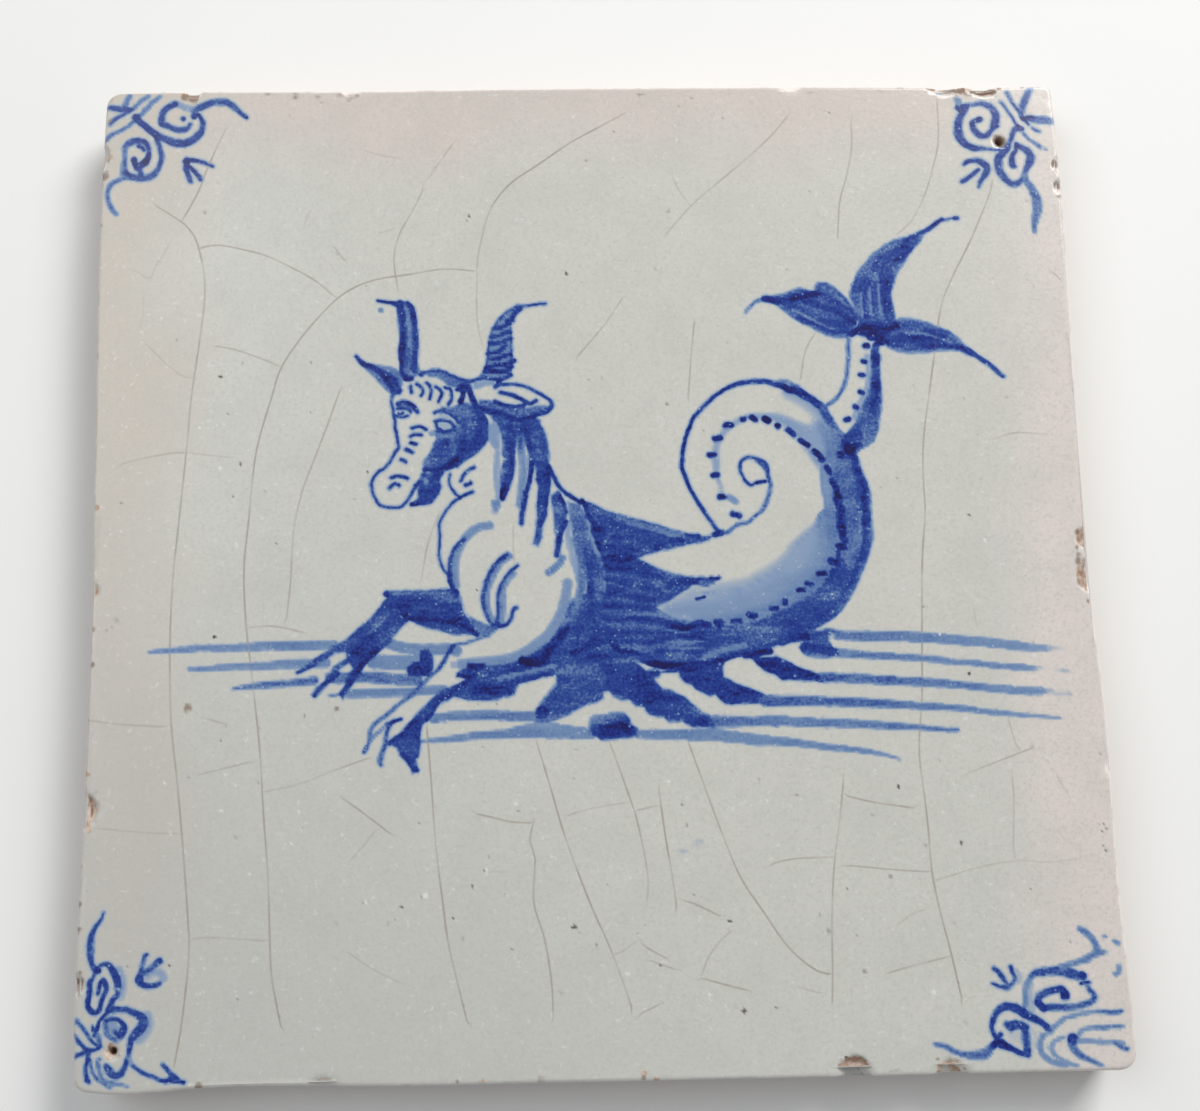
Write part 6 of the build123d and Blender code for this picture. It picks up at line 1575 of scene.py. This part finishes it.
def crack_field(x, y, channel):
    """Distance from a channel's cracks, signed by the side, and how strong the crack is there."""
    signed = np.full(x.shape, far_away)
    weight = np.zeros(x.shape)
    for place, strength in channel:
        for start, end in zip(place, place[1:]):
            low = np.minimum(start, end) - crack_reach - 1
            high = np.maximum(start, end) + crack_reach + 1
            near = np.nonzero((x > low[0]) & (x < high[0]) & (y > low[1]) & (y < high[1]))[0]
            away, _ = segment_distance(x[near], y[near], start, end)
            run = end - start
            side = (x[near] - start[0]) * run[1] - (y[near] - start[1]) * run[0]
            closer = away < np.abs(signed[near])
            signed[near[closer]] = (np.sign(side) * away)[closer]
            weight[near[closer]] = strength
    weight = np.where(np.abs(signed) < crack_reach, weight, 0.0)
    for place, _ in channel:
        for tip, inner in ((place[0], place[1]), (place[-1], place[-2])):
            out = (tip - inner) / max(np.hypot(*(tip - inner)), 1e-9)
            beyond = (x - tip[0]) * out[0] + (y - tip[1]) * out[1]
            close = np.hypot(x - tip[0], y - tip[1]) < 2 * crack_reach
            weight = np.where(close, weight * steps_to(crack_fade, -crack_fade, beyond), weight)
    return np.clip(signed, -crack_limit, crack_limit), weight


# Bare clay: where the glaze ends on the sides, and how much lower than the rounded edge flakes lie
glaze_foot = (6.9, 5.6)
glaze_waver = 0.8
glaze_waver_length = 5.0
edge_round = 0.5
edge_round_start = 0.52
flake_drop = (0.12, 0.3)
flake_inset = 0.9

# The painted highlight along the rounded brink: its upper and lower end, its width, and where it faces
# the light and shows most
brink_top = (7.99, 7.92)
brink_foot = (7.05, 7.4)
brink_width = (0.95, 0.6)
brink_lit_x = 63.5
brink_lit_y = 63.8
brink_unlit = 0.4


def bare_clay(place, from_edge):
    """How bare of glaze each vertex is: the flakes, the holes, the sides and the back."""
    x, y, z = place[:, 0], place[:, 1], place[:, 2]
    waver = glaze_waver * value_noise(x + 3 * y, z, glaze_waver_length, 11)
    clay = steps_to(*glaze_foot, z + waver)
    rounded = np.clip(edge_round_start - from_edge, 0, edge_round)
    ideal_drop = edge_round - np.sqrt(np.maximum(edge_round**2 - rounded**2, 0))
    sunk = (face_height - z) - ideal_drop
    flaked = steps_to(*flake_drop, sunk) * (from_edge > flake_inset) * (z > upper_part)
    return np.maximum(clay, flaked)


def wear_and_highlight(place, tone, speck, stain):
    """Values at each vertex: the paint, the spots, the bare clay, the painted highlight on the brink and
    the cracks.
    """
    x, y, z = place[:, 0], place[:, 1], place[:, 2]
    top = z > upper_part
    from_edge = half_side - np.maximum(np.abs(x), np.abs(y))
    bare = np.where(top, add_spots(x, y, bare_patches, patch_rim), 0.0)
    clay = np.maximum(bare_clay(place, from_edge), bare)
    rounding = steps_to(*brink_top, z) * steps_to(*brink_foot, z)
    lit = np.where((x > brink_lit_x) | (y > brink_lit_y), 1.0, brink_unlit)
    # Painted highlight: pale along the rounded brink, strongest on the top and right sides that face the
    # light
    brink_highlight = rounding * lit * (1 - clay) * steps_to(*brink_width, from_edge)
    values = {
        "ink": np.where(top, sample(tone, x, y), 0.0),
        "speck": np.where(top, sample(speck, x, y), 0.0),
        "stain": np.where(top, sample(stain, x, y), 0.0),
        "clay": clay,
        "fleck": np.where(top, add_spots(x, y, flecks, fleck_rim), 0.0),
        "brink_highlight": brink_highlight,
    }
    for number, channel in enumerate(sorted_cracks()):
        signed, weight = crack_field(x, y, channel)
        values[f"crack_{number}"] = signed
        values[f"crack_weight_{number}"] = np.where(top, weight, 0.0)
    return values


def build_tile():
    """The dressed tile: one closed mesh with the paint, the wear and the painted brink highlight as
    attributes.
    """
    ticks, x, y, tone = paint_raster()
    for chip_x, chip_y in light_chips:
        away = np.hypot(x - chip_x, y - chip_y)
        tone = tone * (1 - chip_strength * steps_to(chip_reach, chip_core, away))
    speck = add_spots(x, y, specks, speck_rim)
    stain = add_spots(x, y, stains, stain_rim)
    rim = rim_columns()
    outer = rim_points(rim)
    detail = face_detail(x, y, tone, speck, stain)
    face_x, face_y = points_inside(outer[:, 0, :2], ticks, detail)
    back_ticks = np.arange(-back_reach, back_reach + 1, back_step)
    back_x, back_y = np.meshgrid(back_ticks, back_ticks)
    sides = [side for _, _, side in rim]
    vertices, polygons, parts = closed_shell(
        outer, sides, face_x, face_y, back_x.ravel(), back_y.ravel()
    )
    place = np.asarray(vertices)
    mesh = bpy.data.meshes.new("tile_dressed")
    mesh.from_pydata((place * metre).tolist(), [], polygons)
    mesh.polygons.foreach_set("use_smooth", [True] * len(mesh.polygons))
    for name, values in wear_and_highlight(place, tone, speck, stain).items():
        attribute = mesh.attributes.new(name, "FLOAT", "POINT")
        attribute.data.foreach_set("value", values.astype(np.float32))
    add_bake_map(mesh, parts, len(rim))
    mesh.validate()
    tile = bpy.data.objects.new("tile_dressed", mesh)
    bpy.context.collection.objects.link(tile)
    return tile


# Map for baking: the face is a large square, the sides are strips beside and above it, and the
# back is a small square in the corner that they leave
map_span = 66.0
map_margin = 0.004
map_face = 0.86
map_gap = 0.012
map_strip = 0.06
map_second_strip = 0.066
map_back = 0.12


def map_share(value, size):
    """A place along the tile as a share of the map, where the tile's width takes up the size."""
    return (value + map_span) / (2 * map_span) * size


def strip_depths():
    """How far into its strip each row of the rim lies."""
    drop = np.zeros(len(rim_rows))
    for r in range(1, len(rim_rows)):
        (inset_a, z_a), (inset_b, z_b) = rim_rows[r - 1], rim_rows[r]
        drop[r] = drop[r - 1] + math.hypot(inset_b - inset_a, z_b - z_a)
    first = drop[face_rows - 1]
    return (drop - first) / (drop[-1] - first) * map_strip


def add_bake_map(mesh, parts, columns):
    """A UV map with the face large, the four sides as strips and the back small."""
    layer = mesh.uv_layers.new(name="OFBake")
    depths = strip_depths()
    values = np.zeros((len(mesh.loops), 2))
    for polygon, (kind, side) in zip(mesh.polygons, parts):
        for loop in polygon.loop_indices:
            vertex = mesh.loops[loop].vertex_index
            x, y, _ = mesh.vertices[vertex].co / metre
            if kind == "face":
                u = map_margin + map_share(x, map_face)
                v = map_margin + map_share(y, map_face)
            elif kind == "back":
                u = map_face + map_gap + map_share(x, map_back)
                v = map_face + map_gap + map_share(y, map_back)
            else:
                far = map_margin + map_share(x if side in (0, 2) else y, map_face)
                shift = map_second_strip if side >= 2 else 0.0
                near = map_face + map_gap + depths[vertex // columns] + shift
                u, v = (far, near) if side in (0, 2) else (near, far)
            values[loop] = (u, v)
    layer.data.foreach_set("uv", values.ravel())


def linear(red, green, blue):
    """A colour written as 0 to 255 sRGB, as the linear values that a shader takes."""
    def one(value):
        value = value / 255
        return value / 12.92 if value <= 0.04045 else ((value + 0.055) / 1.055) ** 2.4
    return (one(red), one(green), one(blue), 1.0)


# Colours as seen in the photo
glaze_middle = linear(202, 201, 194)
glaze_left = linear(199, 190, 178)
# Warmer glaze, made lighter as painted light from the upper right
glaze_right_warm_and_lit = linear(216, 206, 201)
glaze_top = linear(208, 198, 190)
# Painted shade, for the darker lower left
glaze_low_painted_shade = linear(188, 188, 183)
glaze_cloud = linear(182, 182, 175)
clay_colour = linear(212, 194, 179)
clay_dark = linear(168, 138, 118)
# Colour of the painted highlight on the rounded brink
brink_highlight_colour = linear(232, 224, 218)
stain_colour = linear(126, 102, 86)
speck_colour = linear(62, 52, 50)
fleck_colour = linear(222, 222, 218)
thin_paint = linear(96, 112, 130)
crack_colour = linear(162, 155, 145)

# Colour of the paint at some tones
paint_stops = (
    (0.0, (200, 199, 191)), (0.1, (172, 180, 187)), (0.25, (133, 154, 184)), (0.42, (100, 128, 170)),
    (0.5, (84, 112, 164)), (0.58, (58, 87, 152)), (0.68, (36, 65, 141)), (0.78, (30, 56, 136)),
    (0.88, (20, 38, 122)), (0.96, (20, 25, 96)), (1.0, (24, 20, 76)),
)


class Nodes:
    """Short ways to add and join the nodes of one material. Their lengths are in metres."""

    def __init__(self, material):
        material.use_nodes = True
        self.tree = material.node_tree
        self.tree.nodes.clear()

    def add(self, kind, **settings):
        node = self.tree.nodes.new(kind)
        for name, value in settings.items():
            setattr(node, name, value)
        return node

    def feed(self, socket, value):
        """Links an output to a socket, or sets the socket to a constant."""
        if isinstance(value, bpy.types.NodeSocket):
            self.tree.links.new(value, socket)
        else:
            socket.default_value = value

    def math(self, operation, a, b=0.0, clamp=False):
        node = self.add("ShaderNodeMath", operation=operation, use_clamp=clamp)
        self.feed(node.inputs[0], a)
        self.feed(node.inputs[1], b)
        return node.outputs[0]

    def plus(self, a, b, clamp=False):
        return self.math("ADD", a, b, clamp)

    def minus(self, a, b, clamp=False):
        return self.math("SUBTRACT", a, b, clamp)

    def times(self, a, b):
        return self.math("MULTIPLY", a, b)

    def step(self, value, low, high, to_low=0.0, to_high=1.0):
        """A smooth step from one result, at the low value, to the other, at the high one."""
        node = self.add("ShaderNodeMapRange", interpolation_type="SMOOTHSTEP")
        self.feed(node.inputs["Value"], value)
        self.feed(node.inputs["From Min"], low)
        self.feed(node.inputs["From Max"], high)
        self.feed(node.inputs["To Min"], to_low)
        self.feed(node.inputs["To Max"], to_high)
        return node.outputs["Result"]

    def mix(self, share, a, b):
        """The first colour, or the second one where the share is 1."""
        node = self.add("ShaderNodeMix", data_type="RGBA")
        self.feed(node.inputs["Factor"], share)
        for socket, value in zip((s for s in node.inputs if s.type == "RGBA"), (a, b)):
            self.feed(socket, value)
        return next(socket for socket in node.outputs if socket.type == "RGBA")

    def attribute(self, name):
        return self.add("ShaderNodeAttribute", attribute_name=name).outputs["Fac"]

    def place(self):
        return self.add("ShaderNodeTexCoord").outputs["Object"]

    def noise(self, scale, detail=2.0, roughness=0.5, stretch=(1, 1, 1), turn=0.0):
        shift = self.add("ShaderNodeMapping")
        self.feed(shift.inputs["Vector"], self.place())
        self.feed(shift.inputs["Scale"], stretch)
        self.feed(shift.inputs["Rotation"], (0, 0, turn))
        node = self.add("ShaderNodeTexNoise")
        self.feed(node.inputs["Vector"], shift.outputs[0])
        self.feed(node.inputs["Scale"], scale)
        self.feed(node.inputs["Detail"], detail)
        self.feed(node.inputs["Roughness"], roughness)
        return node.outputs["Fac"]

    def from_dots(self, scale):
        """Distance from the nearest of many scattered dots."""
        node = self.add("ShaderNodeTexVoronoi", feature="F1")
        self.feed(node.inputs["Vector"], self.place())
        self.feed(node.inputs["Scale"], scale)
        return node.outputs["Distance"]


def paint_tone(n):
    """Tone of the paint, broken by grains of the glaze, brush streaks and small bubbles."""
    ink = n.attribute("ink")
    grain = n.times(n.minus(n.noise(2600, 3.0, 0.6), 0.52), 0.8)
    streak = n.times(n.minus(n.noise(700, 2.0, 0.5, (0.25, 1.0, 1.0), 0.35), 0.52), 0.6)
    cloud = n.times(n.minus(n.noise(260, 2.0, 0.5), 0.5), 0.35)
    broken = n.plus(n.plus(grain, streak), cloud)
    tone = n.plus(ink, n.times(broken, n.step(ink, 0.2, 0.78)), clamp=True)
    bubble = n.times(n.step(n.from_dots(1500), 0.3, 0.08), n.step(n.noise(900, 2.0), 0.5, 0.62))
    return n.minus(tone, n.times(bubble, n.times(ink, 0.55)), clamp=True)


def paint_colour(n, tone):
    """Colour of the paint by its tone."""
    ramp = n.add("ShaderNodeValToRGB")
    n.feed(ramp.inputs[0], tone)
    elements = ramp.color_ramp.elements
    while len(elements) > 1:
        elements.remove(elements[-1])
    elements[0].position = paint_stops[0][0]
    elements[0].color = linear(*paint_stops[0][1])
    for position, colour in paint_stops[1:]:
        elements.new(position).color = linear(*colour)
    return ramp.outputs["Color"]


def glaze_colour(n, x, y):
    """Bare glaze: grey white in the middle, warmer towards three sides, lighter to the right as painted
    light, with painted shade darker at the lower left.
    """
    patchy = n.times(n.minus(n.noise(45, 3.0, 0.5), 0.5), 0.02)
    across = n.plus(x, patchy)
    upward = n.plus(y, patchy)
    diagonal = n.plus(n.times(across, 0.9), upward)
    glaze = n.mix(n.step(upward, 0.05, 0.064), glaze_middle, glaze_top)
    # Painted light: warmer and lighter towards the right
    glaze = n.mix(n.step(across, 0.051, 0.061), glaze, glaze_right_warm_and_lit)
    glaze = n.mix(n.step(across, -0.046, -0.062), glaze, glaze_left)
    # Painted shade: darker towards the lower left
    glaze = n.mix(n.step(diagonal, -0.02, -0.115, 0.0, 0.65), glaze, glaze_low_painted_shade)
    glaze = n.mix(n.step(n.noise(130, 4.0, 0.6), 0.35, 0.7, 0.0, 0.22), glaze, glaze_cloud)
    glaze = n.mix(n.step(n.noise(2200, 3.0, 0.7), 0.42, 0.72, 0.0, 0.5), glaze, glaze_cloud)
    return n.mix(n.step(n.noise(1300, 2.0, 0.6), 0.6, 0.8, 0.0, 0.5), glaze, fleck_colour)


def painted_colour(n, tone):
    """The glaze and the paint on it, which is a little greyer at the two upper corners."""
    split = n.add("ShaderNodeSeparateXYZ")
    n.feed(split.inputs[0], n.place())
    x = split.outputs["X"]
    y = split.outputs["Y"]
    outward = n.plus(n.math("ABSOLUTE", x), y)
    paint = n.mix(n.step(outward, 0.088, 0.1, 0.0, 0.08), paint_colour(n, tone), thin_paint)
    return n.mix(n.step(tone, 0.02, 0.16), glaze_colour(n, x, y), paint)


def add_specks(n, colour, speck):
    """Fine pin specks all over, and the larger specks and flecks where the photo has them."""
    pin = n.step(n.from_dots(420), 0.055, 0.02)
    rare = n.step(n.noise(300, 1.0), 0.56, 0.6)
    colour = n.mix(n.times(n.times(pin, rare), 0.35), colour, speck_colour)
    colour = n.mix(n.times(n.step(speck, 0, 1), 0.92), colour, speck_colour)
    return n.mix(n.attribute("fleck"), colour, fleck_colour)


def crack_strength(n, tone):
    """How much of a crack shows: a thin wandering line, faint here and there and under paint."""
    total = None
    wander = n.times(n.minus(n.noise(500, 2.0), 0.5), 0.12)
    for number in range(crack_channels):
        away = n.plus(n.math("ABSOLUTE", n.attribute(f"crack_{number}")), wander)
        thin = n.times(n.step(away, 0.21, 0.03), n.attribute(f"crack_weight_{number}"))
        total = thin if total is None else n.math("MAXIMUM", total, thin)
    total = n.times(total, n.step(n.noise(160, 2.0), 0.35, 0.6, 0.45, 0.9))
    return n.times(total, n.step(tone, 0.12, 0.4, 1.0, 0.12))


def add_relief(n, crack, speck, clay):
    """Bump: waves and orange peel of the glaze, grain of the clay, pits, grooves at the cracks."""
    wave = n.times(n.noise(110, 2.0, 0.5), 0.5)
    peel = n.times(n.noise(1500, 3.0, 0.6), 0.2)
    grain = n.times(n.times(n.noise(1800, 4.0, 0.7), clay), 0.6)
    height = n.minus(n.plus(wave, peel), n.times(crack, 0.06))
    height = n.plus(n.minus(height, n.times(speck, 0.2)), grain)
    bump = n.add("ShaderNodeBump")
    n.feed(bump.inputs["Distance"], 0.0002)
    n.feed(bump.inputs["Strength"], 0.5)
    n.feed(bump.inputs["Height"], height)
    return bump.outputs[0]


def glazed_material():
    """Tin glaze with blue paint, cracks, specks and stains, painted light and shade across it and a
    painted highlight along the brink, and bare clay where it is off.
    """
    material = bpy.data.materials.new("tin_glaze_and_clay")
    n = Nodes(material)
    shader = n.add("ShaderNodeBsdfPrincipled")
    n.feed(n.add("ShaderNodeOutputMaterial").inputs[0], shader.outputs[0])
    speck = n.attribute("speck")
    tone = paint_tone(n)
    crack = crack_strength(n, tone)
    colour = add_specks(n, painted_colour(n, tone), speck)
    colour = n.mix(crack, colour, crack_colour)

    # A painted highlight runs pale along the brink, broken up by noise and brightest on the sides that
    # face the light, and dirt sits in the chips
    highlight_breakup = n.step(n.noise(420, 3.0, 0.6), 0.36, 0.52, 0.25, 0.95)
    colour = n.mix(n.times(n.attribute("brink_highlight"), highlight_breakup), colour, brink_highlight_colour)
    ragged = n.times(n.attribute("stain"), n.plus(n.noise(900, 3.0, 0.65), 0.45))
    dirt = n.times(n.step(ragged, 0.3, 0.75), 0.8)
    colour = n.mix(dirt, colour, stain_colour)

    # Bare clay, with a ragged edge
    frayed = n.times(n.minus(n.noise(900, 3.0), 0.5), 0.5)
    clay = n.step(n.plus(n.attribute("clay"), frayed), 0.4, 0.6)
    body = n.mix(n.step(n.noise(650, 4.0, 0.7), 0.35, 0.65), clay_colour, clay_dark)
    body = n.mix(dirt, body, stain_colour)
    n.feed(shader.inputs["Base Color"], n.mix(clay, colour, body))

    uneven = n.times(n.minus(n.noise(400, 2.0), 0.5), 0.08)
    n.feed(shader.inputs["Roughness"], n.plus(n.step(clay, 0, 1, 0.2, 0.85), uneven))
    shader.inputs["Specular IOR Level"].default_value = 0.42
    n.feed(shader.inputs["Normal"], add_relief(n, crack, speck, clay))
    return material


def add_floor():
    """A plain pale floor, in place of the photo's dark cloth."""
    mesh = bpy.data.meshes.new("floor")
    half = 3.0
    mesh.from_pydata([(-half, -half, 0), (half, -half, 0), (half, half, 0), (-half, half, 0)], [],
                     [(0, 1, 2, 3)])
    floor = bpy.data.objects.new("floor", mesh)
    bpy.context.collection.objects.link(floor)
    material = bpy.data.materials.new("pale_floor")
    material.use_nodes = True
    shader = material.node_tree.nodes["Principled BSDF"]
    shader.inputs["Base Color"].default_value = linear(236, 236, 234)
    shader.inputs["Roughness"].default_value = 0.9
    mesh.materials.append(material)


def add_lamp(name, place, size, power, colour):
    """A soft square lamp that looks at the tile."""
    lamp = bpy.data.lights.new(name, "AREA")
    lamp.shape = "SQUARE"
    lamp.size = size
    lamp.energy = power
    lamp.color = colour
    holder = bpy.data.objects.new(name, lamp)
    holder.location = place
    holder.rotation_euler = (-Vector(place)).to_track_quat("-Z", "Y").to_euler()
    bpy.context.collection.objects.link(holder)


def add_light():
    """Soft light, mainly from the upper right as in the photo. Places and sizes are in metres."""
    add_lamp("key", place=(0.46, 0.62, 0.62), size=0.45, power=8.4, colour=(1.0, 0.985, 0.96))
    add_lamp("fill", place=(-0.65, 0.3, 0.9), size=0.8, power=3.8, colour=(0.95, 0.97, 1.0))
    world = bpy.data.worlds.new("studio")
    bpy.context.scene.world = world
    world.use_nodes = True
    background = world.node_tree.nodes["Background"]
    background.inputs["Color"].default_value = (0.93, 0.96, 1.0, 1.0)
    background.inputs["Strength"].default_value = 0.32


# The camera as solved from the corners of the tile: its place, and its own three axes
camera_place = (-4.557, -34.706, 200.251)
camera_right = (0.99947, -0.02328, 0.02294)
camera_up = (0.01882, 0.9838, 0.17827)
camera_back = (-0.02672, -0.17775, 0.98371)
camera_lens = 45.235
sensor_width = 36.0


def add_camera():
    """The camera, where the photo was taken from."""
    camera = bpy.data.cameras.new("camera")
    camera.sensor_width = sensor_width
    camera.lens = camera_lens
    camera.clip_start = 0.01
    camera.clip_end = 20.0
    holder = bpy.data.objects.new("camera", camera)
    turn = Matrix((camera_right, camera_up, camera_back)).transposed().to_4x4()
    holder.matrix_world = Matrix.Translation(Vector(camera_place) * metre) @ turn
    bpy.context.collection.objects.link(holder)
    bpy.context.scene.camera = holder


tile = build_tile()
tile.data.materials.append(glazed_material())
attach(tile, "root")
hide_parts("tile")
add_floor()
add_light()
add_camera()
bpy.context.scene.view_settings.view_transform = "Standard"
